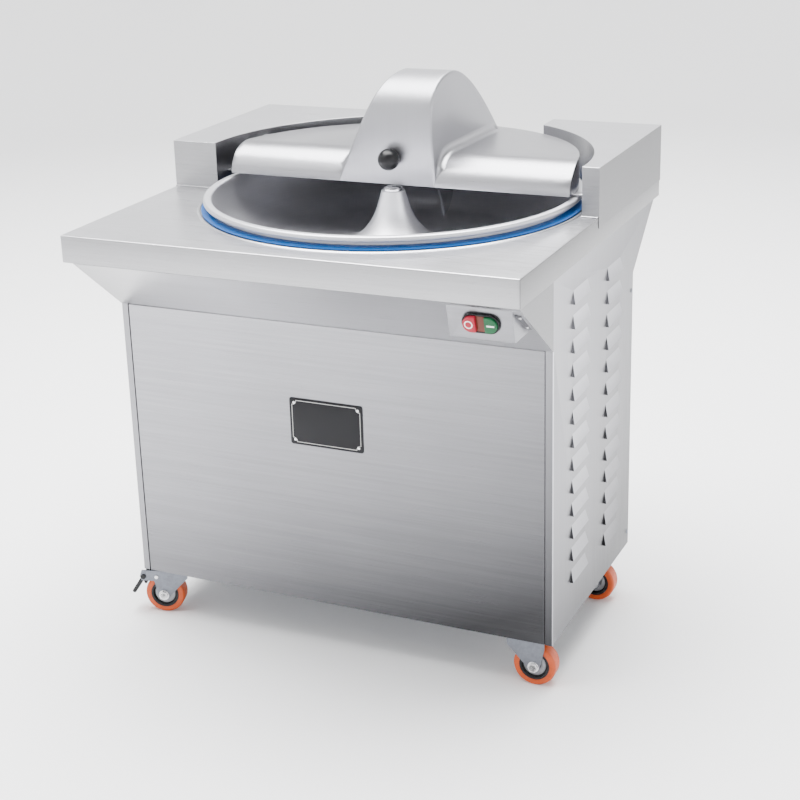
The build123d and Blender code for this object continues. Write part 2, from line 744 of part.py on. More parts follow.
def make_knife_motor():
    front = motor_left + motor_nose
    rear = motor_right - motor_cowl
    body = rod_x(motor_radius, front, rear, motor_y, motor_z)
    body += rod_x(motor_radius * 0.825, motor_left, front, motor_y, motor_z)
    body += rod_x(motor_radius * 0.9, rear, motor_right, motor_y, motor_z)
    half_foot = motor_radius * 0.9
    half_web = half_foot * 0.6
    for x in (motor_left + motor_foot_inset, rear - motor_foot_inset - motor_foot_sheet * 2):
        body += block(x, x + motor_foot, motor_y - half_foot, motor_y + half_foot, base_top, base_top + motor_foot_sheet)
        body += block(x, x + motor_foot, motor_y - half_web, motor_y + half_web, base_top, motor_z)
    box = motor_left + (motor_length - motor_box_length) / 2 - 1
    half_box = motor_box_width / 2
    body += block(box, box + motor_box_length, motor_y - half_box, motor_y + half_box,
                  motor_z, motor_z + motor_radius + motor_box_height)
    return body - rod_x(motor_shaft + running_gap, motor_left - 1, motor_left + rotor_tail + 1, motor_y, motor_z)


# ---- Lid ---------------------------------------------------------------------------------------------
def lid_form(inset):
    """The lid as a solid: a low lip, an elliptic bend, a falling top and the round skirt's plan."""
    front = lid_front + inset
    low = lid_bottom - (1 if inset else 0)
    tail = bowl_y + lid_radius + 5
    slope = lid_fall / lid_radius
    start = (front, lid_bottom + lid_lip)
    end = (lid_front + lid_bend, lid_top_front - inset)
    handle = (end[0] - ellipse_handle * (end[0] - front), end[1] + slope * ellipse_handle * (end[0] - front))
    rear = (tail, end[1] - slope * (tail - end[0]))
    outline = [Line((front, low), start),
               Bezier(start, (front, start[1] + ellipse_handle * (end[1] - start[1])), handle, end),
               Line(end, rear), Line(rear, (tail, low)), Line((tail, low), (front, low))]
    width = lid_radius + 5
    plan = rod_z(lid_radius - inset, low - 1, lid_top_front + 1, bowl_x, bowl_y)
    return along_x(outline, bowl_x - width, bowl_x + width) & plan


def arch_form(inset):
    """The arch as a solid: one smooth path over the knives, upright on the right, leaning on the left."""
    low = lid_bottom - (arch_corner if inset else 0)
    top = overall_height - inset
    front = lid_front + inset
    brow = (lid_front - arch_bulge + inset, lid_bottom + arch_brow * arch_rise)
    crest = (lid_front + arch_crest, top)
    over = Bezier(brow, (brow[0], brow[1] + brow_fullness * (top - brow[1])),
                  (crest[0] - crest_fullness * (crest[0] - brow[0]), top), crest)
    run = arch_rear - crest[0]
    drop = overall_height - (lid_top_front - lid_fall + arch_rear_lift)
    steep = atan2(fall_drop * drop, fall_run * run)
    rear = (arch_rear - inset, overall_height - drop - inset * (1 / cos(steep) - sin(steep) / cos(steep)))
    nape = Bezier(crest, (crest[0] + fall_start * run, top),
                  (rear[0] - fall_run * run, rear[1] + fall_run * run * sin(steep) / cos(steep)), rear)
    rise = Spline((front, lid_bottom), brow, tangents=((-1.4 * arch_bulge, brow[1] - lid_bottom), (0, 1)))
    outline = [rise, over, nape, Line(rear, (rear[0], low)), Line((rear[0], low), (front, low))]
    if inset:
        outline.append(Line((front, low), (front, lid_bottom)))
    side = along_x(outline, arch_left_base - 5, arch_right - inset)
    lean = (arch_left_top - arch_left_base) / arch_rise
    shift = inset * sqrt(1 + lean ** 2)
    left_low = arch_left_base + shift - lean * 5
    left_high = arch_left_top + shift + lean * 5
    view = make_face(Polyline((left_low, lid_bottom - 5), (arch_right + 5, lid_bottom - 5),
                              (arch_right + 5, overall_height + 5), (left_high, overall_height + 5), close=True))
    prism = extrude(Plane.XZ.offset(-arch_rear - 5) * view, amount=arch_rear - lid_front + arch_bulge + 10)
    solid = side & prism
    ridge = [edge for edge in solid.edges() if edge.center().Z > lid_top_front and edge.length > arch_corner * 8]
    ridge = [edge for edge in ridge if abs(edge.tangent_at(0.5).X) < 0.8]
    return fillet(ridge, arch_corner - inset)


def make_lid_cover():
    """The half-round cover: lip, bend, top and the skirt that follows the bowl's rim."""
    notch = block(bowl_x - lid_radius - 5, bowl_x - lid_radius / 2, knife_y - notch_front, knife_y + notch_rear,
                  lid_bottom - 1, knife_z + tube_radius + notch_above)
    return lid_form(0) - lid_form(heavy_sheet) - notch - arch_form(0)


def make_lid_arch():
    """The arch's shell, open to the lid below it and clear of the lid's skirt."""
    skirt_room = block(arch_left_base - arch_corner, arch_right + arch_corner, bowl_y + lid_radius / 2,
                       bowl_y + lid_radius, lid_bottom - 1, lid_top_front - lid_fall - heavy_sheet - arch_corner)
    return arch_form(0) - arch_form(heavy_sheet) - lid_form(heavy_sheet) - skirt_room


def make_lid_hinge():
    """The hinge leaf on the skirt's rear with its barrel round the pin."""
    rear = bowl_y + lid_radius
    left = bowl_x - barrel_half
    right = bowl_x + barrel_half
    leaf = block(left, right, rear - 12, rear + 3, hinge_z - hinge_leaf_depth, hinge_z - 5)
    leaf += block(left, right, rear - 1, hinge_y, hinge_z - 9, hinge_z - 5)
    leaf -= rod_z(lid_radius, 0, overall_height, bowl_x, bowl_y)
    leaf += rod_x(barrel_radius, left, right, hinge_y, hinge_z)
    return leaf - rod_x(hinge_pin + running_gap, left - 1, right + 1, hinge_y, hinge_z)


def make_hinge_bracket():
    inner = barrel_half + seat_gap
    front = bowl_y + collar_inner + collar_width + bracket_front_gap
    rear = half_depth - 3
    solid = block(bowl_x - bracket_foot, bowl_x + bracket_foot, front, rear, worktop_top, worktop_top + 4)
    ear = [(front, worktop_top), (rear, worktop_top), (rear, ring_top + 20), (hinge_y + bracket_eye, hinge_z),
           (hinge_y - bracket_eye, hinge_z), (hinge_y - bracket_eye, hinge_z - 12), (front, ring_top + 20)]
    for side in (-1, 1):
        low = bowl_x + min(side * inner, side * (inner + hinge_ear))
        solid += slab_x(ear, low, low + hinge_ear)
        solid += rod_x(bracket_eye, low, low + hinge_ear, hinge_y, hinge_z)
    return solid - rod_x(hinge_pin, bowl_x - bracket_foot, bowl_x + bracket_foot, hinge_y, hinge_z)


def make_hinge_pin():
    reach = barrel_half + seat_gap + hinge_ear
    pin = rod_x(hinge_pin, bowl_x - reach - 3, bowl_x + reach, hinge_y, hinge_z)
    return pin + rod_x(hinge_pin + 2.5, bowl_x + reach, bowl_x + reach + 3, hinge_y, hinge_z)


def make_lid_knob():
    """A ball on a short neck that ends on the arch's front."""
    ball = Pos(knob_x, knob_y, knob_z) * Sphere(knob_radius)
    neck = rod_y(knob_neck, knob_y, lid_front + 1, knob_x, knob_z)
    return ball + neck - arch_form(0)


def make_lid_rests():
    """A flat arm on each concave wall that the skirt's lower edge comes down on."""
    arms = []
    for side in (-1, 1):
        wall = bowl_x + side * sqrt(housing_wall ** 2 - (rest_y - bowl_y) ** 2)
        tip = bowl_x + side * rest_reach
        top = lid_bottom - seat_gap
        arm = block(tip, wall + side * rest_size, rest_y - rest_size / 2, rest_y + rest_size / 2,
                    top - rest_thickness, top)
        arms.append(arm & rod_z(housing_wall, 0, overall_height, bowl_x, bowl_y))
    return group(arms)


# ---- Switch box --------------------------------------------------------------------------------------
def apron_y(z):
    """Y of the front apron's outer face at a height."""
    return -half_depth + (worktop_under - z) * (cabinet_front + half_depth) / (worktop_under - apron_bottom)


box_tilt = degrees(atan2(box_bottom_y - box_top_y, worktop_under - box_bottom))
box_face_y = box_top_y + (worktop_under - bezel_z) * (box_bottom_y - box_top_y) / (worktop_under - box_bottom)
box_plane = Plane((bezel_x, box_face_y, bezel_z), x_dir=(1, 0, 0),
                  z_dir=(0, -cos(radians(box_tilt)), -sin(radians(box_tilt))))


def stadium(inset):
    return SlotOverall(bezel_width - 2 * inset, bezel_height - 2 * inset)


def on_box(face, depth):
    """Extrude a face that lies on the switch box's front; a positive depth stands out of it."""
    return extrude(box_plane * face, amount=depth)


def make_switch_box():
    """A sloping-faced box on the apron, with a pocket for the buttons and a fixing flange."""
    lean = (cabinet_front + half_depth) / (worktop_under - apron_bottom)
    slope = (box_bottom_y - box_top_y) / (worktop_under - box_bottom)
    brow_z = worktop_under - (box_top_y + half_depth) / (lean - slope)
    outline = [(apron_y(brow_z), brow_z), (box_bottom_y, box_bottom), (apron_y(box_bottom), box_bottom)]
    body = slab_x(outline, box_left, box_right)
    pocket = on_box(stadium(bezel_wall), -(button_body + button_travel))
    flange = slab_x([(apron_y(box_flange_top), box_flange_top), (apron_y(box_flange_bottom), box_flange_bottom),
                     (apron_y(box_flange_bottom) - 2, box_flange_bottom), (apron_y(box_flange_top) - 2, box_flange_top)],
                    box_right, box_right + box_flange)
    return body - pocket + flange


def cap_face(low, high):
    """The part of the bezel's opening between two X values, with side clearance."""
    strip = Pos((low + high) / 2, 0) * Rectangle(high - low, bezel_height)
    return stadium(bezel_wall + slide_gap) & strip


def make_button_bezel():
    return on_box(stadium(0) - stadium(bezel_wall), bezel_stand)


def make_lamp():
    lens = cap_face(-lamp_width / 2, lamp_width / 2)
    return on_box(lens, bezel_stand) + on_box(lens, -(button_body + button_travel))


def make_button(low, high, stand):
    face = cap_face(low, high)
    return on_box(face, stand) + on_box(face, -button_body)


def make_stop_button():
    return make_button(-bezel_width / 2, -lamp_width / 2 - slide_gap, bezel_stand + stop_stand)


def make_start_button():
    return make_button(lamp_width / 2 + slide_gap, bezel_width / 2, bezel_stand + start_stand)


# ---- Name plate and small fittings -------------------------------------------------------------------
def make_nameplate():
    face = Plane((plate_x, cabinet_front, plate_z), x_dir=(1, 0, 0), z_dir=(0, -1, 0))
    return extrude(face * RectangleRounded(plate_width, plate_height, plate_corner), amount=plate_sheet)


def make_nameplate_rivets():
    face = cabinet_front - plate_sheet
    heads = []
    for x in (-1, 1):
        for z in (-1, 1):
            centre_x = plate_x + x * (plate_width / 2 - rivet_inset)
            centre_z = plate_z + z * (plate_height / 2 - rivet_inset)
            heads.append(rod_y(rivet_radius, face - rivet_stand, face, centre_x, centre_z))
    return group(heads)


def make_panel_screws():
    """Screw heads on the side panels, on the rear panel and on the switch box's flange."""
    heads = []
    for face_x, side in ((cabinet_right, 1), (cabinet_left, -1)):
        tip = face_x + side * screw_stand
        for z in (cabinet_bottom + 25, rear_slope_bottom - 30):
            heads.append(rod_x(screw_radius, min(face_x, tip), max(face_x, tip), cabinet_rear - 9, z))
    for x in (cabinet_left + 14, (cabinet_left + cabinet_right) / 2, cabinet_right - 14):
        for z in (cabinet_bottom + 30, rear_slope_bottom - 12):
            heads.append(rod_y(screw_radius, cabinet_rear, cabinet_rear + screw_stand, x, z))
    return group(heads)


def make_cable_gland():
    """A hexagonal body with a round cap outside the rear panel and its threaded end inside."""
    end = cabinet_rear + gland_reach
    nut = extrude(Plane.XZ.offset(-cabinet_rear) * RegularPolygon(gland_nut, 6), amount=-gland_nut_length)
    gland = Pos(gland_x, 0, gland_z) * nut
    gland += rod_y(gland_nut * 0.75, cabinet_rear + gland_nut_length, end, gland_x, gland_z)
    gland += rod_y(gland_bore + gland_wall, cabinet_rear - gland_tail, cabinet_rear, gland_x, gland_z)
    return gland - rod_y(gland_bore, cabinet_rear - gland_tail - 1, end + 1, gland_x, gland_z)


# ---- Casters -----------------------------------------------------------------------------------------
# Each caster is drawn at the origin, trailing along +X, then turned and moved to its corner.
casters = {
    "front_left": (-swivel_x, swivel_front_y, 180 + left_toe, True),
    "front_right": (swivel_x, swivel_front_y, right_toe, False),
    "rear_left": (-swivel_x, swivel_rear_y, 180, True),
    "rear_right": (swivel_x, swivel_rear_y, 0, False),
}


def make_caster_plates():
    """Top plate, ball race, kingpin and nut of each caster."""
    race_top = base_underside - caster_plate_sheet
    nut_top = crown_low - seat_gap
    solids = []
    for x, y, _, _ in casters.values():
        solid = block(x - caster_plate_x / 2, x + caster_plate_x / 2, y - caster_plate_y / 2, y + caster_plate_y / 2,
                      race_top, base_underside)
        solid += rod_z(race_radius, crown_top + seat_gap, race_top, x, y)
        solid += rod_z(kingpin_radius, nut_top, race_top, x, y)
        solid += rod_z(kingpin_nut, nut_top - kingpin_nut_height, nut_top, x, y)
        solids.append(solid)
    return group(solids)


def make_caster_bolts():
    low = base_underside - caster_plate_sheet
    heads = []
    for x, y, _, _ in casters.values():
        for dx in (-1, 1):
            for dy in (-1, 1):
                head_x = x + dx * (caster_plate_x / 2 - caster_bolt_inset)
                head_y = y + dy * (caster_plate_y / 2 - caster_bolt_inset)
                heads.append(rod_z(caster_bolt, low - 3, low, head_x, head_y))
    return group(heads)


def make_fork(braked):
    """The swivel fork: crown, two tapering legs, the axle bolt, and cheeks for a brake where it has one."""
    crown = block(-crown_lead, crown_trail, -fork_outer, fork_outer, crown_low, crown_top)
    outline = [(-crown_lead, crown_top), (-crown_lead, crown_low - 8), (trail - leg_boss, wheel_radius - 2),
               (trail + leg_boss, wheel_radius), (crown_trail, crown_low - 10), (crown_trail, crown_top)]
    leg = make_face(Polyline(*outline, close=True)) + Pos(trail, wheel_radius) * Circle(leg_boss)
    if braked:
        cheek = [(crown_trail - 5, crown_top), (cheek_end - 4, crown_top), (cheek_end, crown_low - 8),
                 (cheek_end - 3, cheek_low), (crown_trail - 5, cheek_low)]
        leg += make_face(Polyline(*cheek, close=True))
    fork = crown
    for low in (-fork_outer, fork_inner):
        fork += Pos(0, low, 0) * extrude(Plane.XZ * leg, amount=-fork_sheet)
    fork -= rod_z(kingpin_radius + running_gap, crown_low - 1, crown_top + 1, 0, 0)
    fork -= rod_y(axle_radius, -fork_outer - 1, fork_outer + 1, trail, wheel_radius)
    if braked:
        fork -= rod_y(pedal_pin + running_gap, -fork_outer - 1, fork_outer + 1, pedal_pivot, pedal_pivot_z)
    axle = rod_y(axle_radius, -fork_outer, fork_outer, trail, wheel_radius)
    for low in (-fork_outer, fork_outer + axle_head_length):
        head = extrude(Plane.XZ * RegularPolygon(axle_head, 6), amount=axle_head_length)
        axle += Pos(trail, low, wheel_radius) * head
    solids = [fork, axle]
    if braked:
        for low in (-fork_outer - cheek_bolt / 2, fork_outer):
            solids.append(rod_y(cheek_bolt, low, low + cheek_bolt / 2, pedal_pivot - cheek_bolt_back, pedal_pivot_z))
    return solids


def about_axle(outline):
    return Pos(trail, 0, wheel_radius) * revolve(Plane.XY * make_face(outline), axis=Axis.Y)


def make_tread():
    half = wheel_width / 2
    inner = wheel_radius - tread_depth
    shoulder = 4.0
    return about_axle([Line((inner, -half), (wheel_radius - shoulder, -half)),
                       ThreePointArc((wheel_radius - shoulder, -half), (wheel_radius - 1.2, -half + 1.2),
                                     (wheel_radius, -half + shoulder)),
                       Line((wheel_radius, -half + shoulder), (wheel_radius, half - shoulder)),
                       ThreePointArc((wheel_radius, half - shoulder), (wheel_radius - 1.2, half - 1.2),
                                     (wheel_radius - shoulder, half)),
                       Line((wheel_radius - shoulder, half), (inner, half)), Line((inner, half), (inner, -half))])


def make_hub():
    """The wheel's core: a rim, a thin web on each side and a boss round the axle."""
    half = wheel_width / 2
    rim = wheel_radius - tread_depth
    web = half - 4
    bore = axle_radius + running_gap
    outline = [(bore, -hub_half), (9, -hub_half), (10, -web), (rim - 5, -web), (rim - 4, -half), (rim, -half),
               (rim, half), (rim - 4, half), (rim - 5, web), (10, web), (9, hub_half), (bore, hub_half)]
    return about_axle(Polyline(*outline, close=True))


def bar(start, end, width):
    """A flat bar with round ends between two points."""
    length = hypot(end[0] - start[0], end[1] - start[1])
    angle = degrees(atan2(end[1] - start[1], end[0] - start[0]))
    middle = Pos((start[0] + end[0]) / 2, (start[1] + end[1]) / 2)
    return middle * Rot(0, 0, angle) * SlotCenterToCenter(length, width)


def make_brake_pedal():
    """A bent foot lever on a pin through the fork's cheeks, with a shoe that meets the tread."""
    shoe = (pedal_shoe, pedal_shoe_z)
    pivot = (pedal_pivot, pedal_pivot_z)
    knee = (pedal_knee, pedal_knee_z)
    tip = (pedal_tip, pedal_tip_z)
    side = bar(shoe, pivot, pedal_shoe_thickness) + bar(pivot, knee, pedal_thickness)
    side += bar(knee, tip, pedal_thickness)
    half = fork_inner - pedal_play
    lever = extrude(Plane.XZ * side, amount=half, both=True)
    reach = fork_outer + pedal_play
    lever += rod_y(pedal_pin, -reach, reach, *pivot)
    for low in (-reach - cheek_bolt / 2, reach):
        lever += rod_y(cheek_bolt + 1, low, low + cheek_bolt / 2, *pivot)
    return lever


# ---- Write one STEP per node -------------------------------------------------------------------------
makers = {
    "base_plate": make_base_plate, "inner_frame": make_inner_frame, "front_panel": make_front_panel,
    "rear_panel": make_rear_panel, "front_apron": make_front_apron, "rear_apron": make_rear_apron,
    "worktop": make_worktop, "left_housing": make_left_housing, "right_housing": make_right_housing,
    "hinge_bracket": make_hinge_bracket, "hinge_pin": make_hinge_pin, "lid_rests": make_lid_rests,
    "switch_box": make_switch_box, "button_bezel": make_button_bezel, "lamp": make_lamp,
    "stop_button": make_stop_button, "start_button": make_start_button,
    "nameplate": make_nameplate, "nameplate_rivets": make_nameplate_rivets, "panel_screws": make_panel_screws,
    "cable_gland": make_cable_gland, "knife_motor": make_knife_motor, "motor_rotor": make_motor_rotor,
    "v_belts": make_v_belts, "bearing_tube": make_bearing_tube, "knife_shaft": make_knife_shaft,
    "knives": make_knives, "knife_spacers": make_knife_spacers, "knife_nut": make_knife_nut,
    "knife_pulley": make_knife_pulley, "bowl_gearmotor": make_bowl_gearmotor,
    "spindle_housing": make_spindle_housing, "bowl_spindle": make_bowl_spindle, "bowl": make_bowl,
    "bowl_ring": make_bowl_ring, "bowl_cap": make_bowl_cap, "lid_cover": make_lid_cover,
    "lid_arch": make_lid_arch, "lid_hinge": make_lid_hinge, "lid_knob": make_lid_knob,
    "caster_plates": make_caster_plates, "caster_bolts": make_caster_bolts,
}

os.makedirs("parts", exist_ok=True)
for node, maker in makers.items():
    export_step(maker(), f"parts/{node}.step")
for node, side, face_x in (("right_side_panel", 1, cabinet_right), ("left_side_panel", -1, cabinet_left)):
    export_step(make_side_panel(side, face_x), f"parts/{node}.step")
for corner, (x, y, heading, braked) in casters.items():
    place = Pos(x, y, 0) * Rot(0, 0, heading)
    export_step(group(place * piece for piece in make_fork(braked)), f"parts/fork_{corner}.step")
    export_step(place * make_tread(), f"parts/tread_{corner}.step")
    export_step(place * make_hub(), f"parts/hub_{corner}.step")
    if braked:
        export_step(place * make_brake_pedal(), f"parts/pedal_{corner}.step")
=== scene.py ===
import json
from math import atan2, cos, degrees, pi, radians, sin, sqrt, tau

import bmesh
import bpy
from bpy.props import FloatProperty, FloatVectorProperty, IntProperty, PointerProperty
from mathutils import Matrix, Vector


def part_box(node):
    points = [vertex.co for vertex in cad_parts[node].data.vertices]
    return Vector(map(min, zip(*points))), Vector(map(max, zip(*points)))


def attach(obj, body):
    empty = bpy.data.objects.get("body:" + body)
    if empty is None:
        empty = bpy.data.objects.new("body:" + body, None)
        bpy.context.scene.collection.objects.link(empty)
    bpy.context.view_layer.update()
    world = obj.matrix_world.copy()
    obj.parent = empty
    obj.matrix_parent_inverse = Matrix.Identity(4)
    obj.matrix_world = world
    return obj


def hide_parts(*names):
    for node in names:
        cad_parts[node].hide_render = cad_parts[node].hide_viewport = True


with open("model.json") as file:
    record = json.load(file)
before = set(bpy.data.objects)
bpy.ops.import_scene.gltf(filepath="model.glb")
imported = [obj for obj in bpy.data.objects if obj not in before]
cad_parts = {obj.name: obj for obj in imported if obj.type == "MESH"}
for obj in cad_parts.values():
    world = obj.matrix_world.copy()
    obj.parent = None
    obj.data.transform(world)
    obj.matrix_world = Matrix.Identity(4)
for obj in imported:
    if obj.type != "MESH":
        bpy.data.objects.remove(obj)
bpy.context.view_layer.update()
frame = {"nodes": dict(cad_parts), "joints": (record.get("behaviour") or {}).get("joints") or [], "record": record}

bl_info = {
    "name": "Bowl cutter",
    "version": (1, 0, 0),
    "blender": (4, 5, 0),
    "location": "View3D > Sidebar > Bowl cutter",
    "description": "Dresses a bowl cutter: sheet steel, bowl, lid, switch, fasteners and casters",
    "category": "Object",
}

MM = 0.001
NODE_BODY = {node: body for body, nodes in frame["record"]["behaviour"]["bodies"].items() for node in nodes}


# ---- Settings ----
def colour(name, description, default):
    return FloatVectorProperty(name=name, description=description, subtype="COLOR", size=3, min=0, max=1,
                               default=default)


def length(name, description, millimetres):
    return FloatProperty(name=name, description=description, subtype="DISTANCE", unit="LENGTH",
                         default=millimetres * MM)


def power(name, description, watts):
    return FloatProperty(name=name, description=description, unit="POWER", default=watts)


# The sheet, worktop, switch box and lid colours are one stainless steel in separate tones, painted light and
# shade: the worktop and housings are painted lighter and the switch box darker than the cabinet sheet.
class SteelSettings(bpy.types.PropertyGroup):
    sheet: colour("Sheet", "Colour of the brushed cabinet sheet", (0.33, 0.33, 0.35))
    side: colour("Side sheet", "Colour of the side panels", (0.33, 0.33, 0.35))
    top: colour("Worktop", "Colour of the worktop and housings", (0.66, 0.66, 0.68))
    box: colour("Switch box", "Colour of the switch box", (0.24, 0.24, 0.255))
    lid: colour("Lid", "Colour of the lid and its arch", (0.37, 0.37, 0.39))
    bowl: colour("Bowl", "Colour of the turned bowl", (0.62, 0.62, 0.65))
    zinc: colour("Zinc", "Colour of the plated caster parts", (0.17, 0.18, 0.205))
    roughness: FloatProperty(name="Roughness", description="Roughness of the brushed sheet", default=0.34,
                             min=0, max=1)
    edge: length("Edge", "Width of the small chamfer on folded sheet", 0.6)
    fold: length("Fold", "Radius of the worktop's folded edges", 1.8)


class BowlSettings(bpy.types.PropertyGroup):
    x: length("X", "Bowl axis, across", 28)
    y: length("Y", "Bowl axis, front to rear", 13)
    rim_top: length("Rim top", "Height of the rim", 756)
    rim_inner: length("Rim inside", "Inner radius of the rim's bead", 302)
    rim_outer: length("Rim outside", "Outer radius of the rim's bead", 316)
    rim_depth: length("Rim depth", "Height of the rim's bead", 9)
    rim_edge: length("Rim edge", "Radius of the bead's round edges", 4.2)
    curve: length("Trough curve", "Radial reach of the curve between the trough's floor and the rim", 92)
    hole: length("Hole", "Radius of the hole under the cap", 8)
    floor: length("Floor", "Height of the trough's floor", 665)
    wall: length("Wall", "Thickness of the bowl", 3)
    segments: IntProperty(name="Segments", description="Faces round the bowl", default=256, min=24)


class LidSettings(bpy.types.PropertyGroup):
    flare: length("Flare", "Width of the hollow bend between the lid and its arch", 15)


class SwitchSettings(bpy.types.PropertyGroup):
    stop: colour("Stop", "Colour of the stop cap", (0.34, 0.010, 0.028))
    start: colour("Start", "Colour of the start cap", (0.004, 0.085, 0.028))
    lamp: colour("Lamp", "Colour of the lamp between the caps", (0.12, 0.026, 0.015))
    mark: length("Mark", "Outer radius of the ring on the stop cap", 6.6)
    stroke: length("Stroke", "Width of the marks' lines", 1.8)
    bar: length("Bar", "Length of the bar on the start cap", 11.8)


class PlateSettings(bpy.types.PropertyGroup):
    border: length("Border inset", "Distance from the plate's edge to its printed line", 4.5)
    notch: length("Notch", "Radius of the line's hollow corners", 7.5)
    line: length("Line", "Width of the printed line", 0.8)


class FastenerSettings(bpy.types.PropertyGroup):
    screw: length("Screw", "Radius of a panel screw's head", 4.0)
    rivet: length("Rivet", "Radius of a rivet's head", 2.6)
    bolt: length("Bolt", "Radius of a caster bolt's head", 4.5)


class CasterSettings(bpy.types.PropertyGroup):
    tread: colour("Tread", "Colour of the tyre", (0.48, 0.060, 0.002))
    wheel: length("Wheel", "Radius of the wheel", 35.5)
    width: length("Width", "Width of the wheel", 27)
    depth: length("Tread depth", "Thickness of the tyre", 10)
    disc: length("Bearing disc", "Radius of the grey disc over the bearing", 19)
    shoulder: length("Tread shoulder", "Radius of the tyre's round edges", 4)
    fork: length("Fork", "Half the fork's width over its legs", 18)
    axle_head: length("Axle head", "Radius of the axle's washer; its hexagon is 0.86 of it", 9.4)
    axle_rise: length("Axle head height", "Height of the axle's head over the fork's leg", 5.2)


class StageSettings(bpy.types.PropertyGroup):
    floor: colour("Floor", "Colour of the floor and its upturned edge", (0.93, 0.93, 0.935))
    key: power("Key light", "Power of the large front light", 60)
    fill: power("Fill light", "Power of the light on the right", 20)
    top: power("Top light", "Power of the overhead light", 860)
    sky: FloatProperty(name="Surroundings", description="Strength of the even light all round", default=0.25)
    lens: FloatProperty(name="Lens", description="Focal length of the camera", default=74.5, unit="CAMERA")


# ---- Outlines ----
# The lid and its arch, in metres. Front and rear are along Y, and the walls' places are along X at the lip.
LID_FRONT = 0.013
LID_LIP = 0.7625
LID_TOP = 0.810
LID_BEND = 0.060            # how far the front bend reaches to the rear
LID_SLOPE = 6 / 307         # fall of the top towards the rear
ARCH_RIGHT = 0.105          # the upright wall
ARCH_LEFT = -0.0745         # the leaning wall
ARCH_LEAN = 90 / 178.5      # how far the leaning wall comes in over its height
ARCH_BULGE = 0.011          # how far the arch's front stands before the lip
BROW_RISE = 0.1107          # height over which it comes forward
FLARE_END = 0.290
FLARE_TAPER = 0.030         # length over which the flare runs out at its rear end
FLARE_SINK = 0.0009         # depth of its hidden edge inside the sheets
FLARE_TUCK = 0.00006        # how far its shown edges end inside the sheets' faces
FLARE_LEAST = 0.0006        # narrower than this, the flare ends
FLARE_MARGIN = 0.005        # distance kept from the arch's front

# Radii and heights in millimetres: the bowl's cone from its neck down, over the ground; the cap over the
# neck; the ring's outside over its foot; and the wheel's boss from its bore, over the wheel's middle. The
# web runs from the boss to the tyre, and is given from the tyre's inner edge at the wheel's side. The grey
# disc's foot is given from that side too, and its edge from the disc's radius over its foot.
CONE = ((19.5, 752), (24.6, 735), (30, 718), (36.2, 705), (45, 692), (56, 680.5), (74, 669.8), (98, 665))
CAP = ((0, 0), (15, 0), (15.6, 0.6), (15.6, 3.2), (15, 4.5), (12, 6), (7, 6.8))
RING = ((305.3, 0), (319, 0), (319.8, 0.8), (319.8, 1.6))
RING_TOP = (309, 305.3)
BOSS = ((4.05, 15), (6, 15), (9, 14.6), (9.8, 13.5))
WEB_START = 10.8
WEB = ((-5.6, -4), (-4.8, -3.2), (-4, -0.2), (-0.3, 0))
DISC_BORE, DISC_FLAT, DISC_FOOT = 11, 15, -4.2
DISC_EDGE = ((-0.6, 0), (0, 0.4), (-1, 1.2))
DISC_TOP = 1.8

FLANGE_SCREWS = ((0.3765, -0.3287, 0.668), (0.3765, -0.2982, 0.645))
FLANGE_OUT = (0, -0.602, -0.799)

# Fastener heads. Each entry is a cone or cylinder: sides, lower and upper radius, middle height and depth.
SCREW_HEAD = ((32, 1.0, 0.97, 0.15, 0.3), (32, 0.97, 0.82, 0.45, 0.3), (32, 0.82, 0.5, 0.725, 0.25),
              (32, 0.5, 0.46, 0.9, 0.1))
RIVET_HEAD = ((28, 1.0, 0.98, 0.1, 0.2), (28, 0.98, 0.84, 0.35, 0.3), (28, 0.84, 0.55, 0.65, 0.3),
              (28, 0.55, 0.1, 0.9, 0.2))
BOLT_HEAD = ((32, 1.0, 1.0, 0.1, 0.2), (6, 0.86, 0.86, 0.5, 0.6), (6, 0.86, 0.7, 0.9, 0.2))
SCREW_RISE = 0.0015

# The stage, in metres: the floor's flat radius, its bend and its edge's top, then each light's place and
# size, and the camera's place and its three axes.
FLOOR_RADIUS, FLOOR_BEND, FLOOR_TOP = 4.4, 1.6, 4.2
LIGHTS = {"key": ((-2.4, -2.4, 3.6), (2.6, 2.2)), "fill": ((3.4, -0.6, 2.2), (2.0, 2.4)),
          "top": ((-0.4, 0.45, 3.9), (4.2, 3.4))}
LIT_POINT = (0, 0, 0.55)
CAMERA_PLACE = (1.1510, -2.4379, 1.3917)
CAMERA_RIGHT = (0.90222805, 0.42976313, -0.03589143)
CAMERA_UP = (-0.11045854, 0.31073473, 0.94405659)
CAMERA_BACK = (0.41687343, -0.84778982, 0.3278246)
CAMERA_SHIFT = (0.056, -0.051)

SHARP = 38                  # degrees: edges sharper than this are softened
ON_AXIS = 1e-7              # metres: a smaller radius is a point on the axis


# ---- Mesh helpers ----
def metres(points, radius=0.0, height=0.0):
    """Radii and heights given in millimetres, as metres from a radius and a height."""
    return [(radius + across * MM, height + up * MM) for across, up in points]


def add_object(name, data):
    """A new object in the scene, made from a mesh, a light or a camera."""
    thing = bpy.data.objects.new(name, data)
    bpy.context.scene.collection.objects.link(thing)
    return thing


def finish_piece(name, mesh, node, finish, replaced=True, crease=24):
    """Turns a bmesh into a shown piece on a node's body, smooth except along edges sharper than crease."""
    for face in mesh.faces:
        face.smooth = True
    for edge in mesh.edges:
        edge.smooth = len(edge.link_faces) == 2 and edge.calc_face_angle(pi) < radians(crease)
    data = bpy.data.meshes.new(name)
    mesh.to_mesh(data)
    mesh.free()
    data.materials.append(finish_of(finish))
    piece = add_object(name, data)
    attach(piece, NODE_BODY[node])
    if replaced:
        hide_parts(node)


def merged_copy(node):
    """A node's mesh with its doubles merged and its flat faces joined."""
    mesh = bmesh.new()
    mesh.from_mesh(frame["nodes"][node].data)
    bmesh.ops.remove_doubles(mesh, verts=mesh.verts, dist=4e-6)
    bmesh.ops.dissolve_limit(mesh, angle_limit=radians(0.5), verts=mesh.verts, edges=mesh.edges)
    return mesh


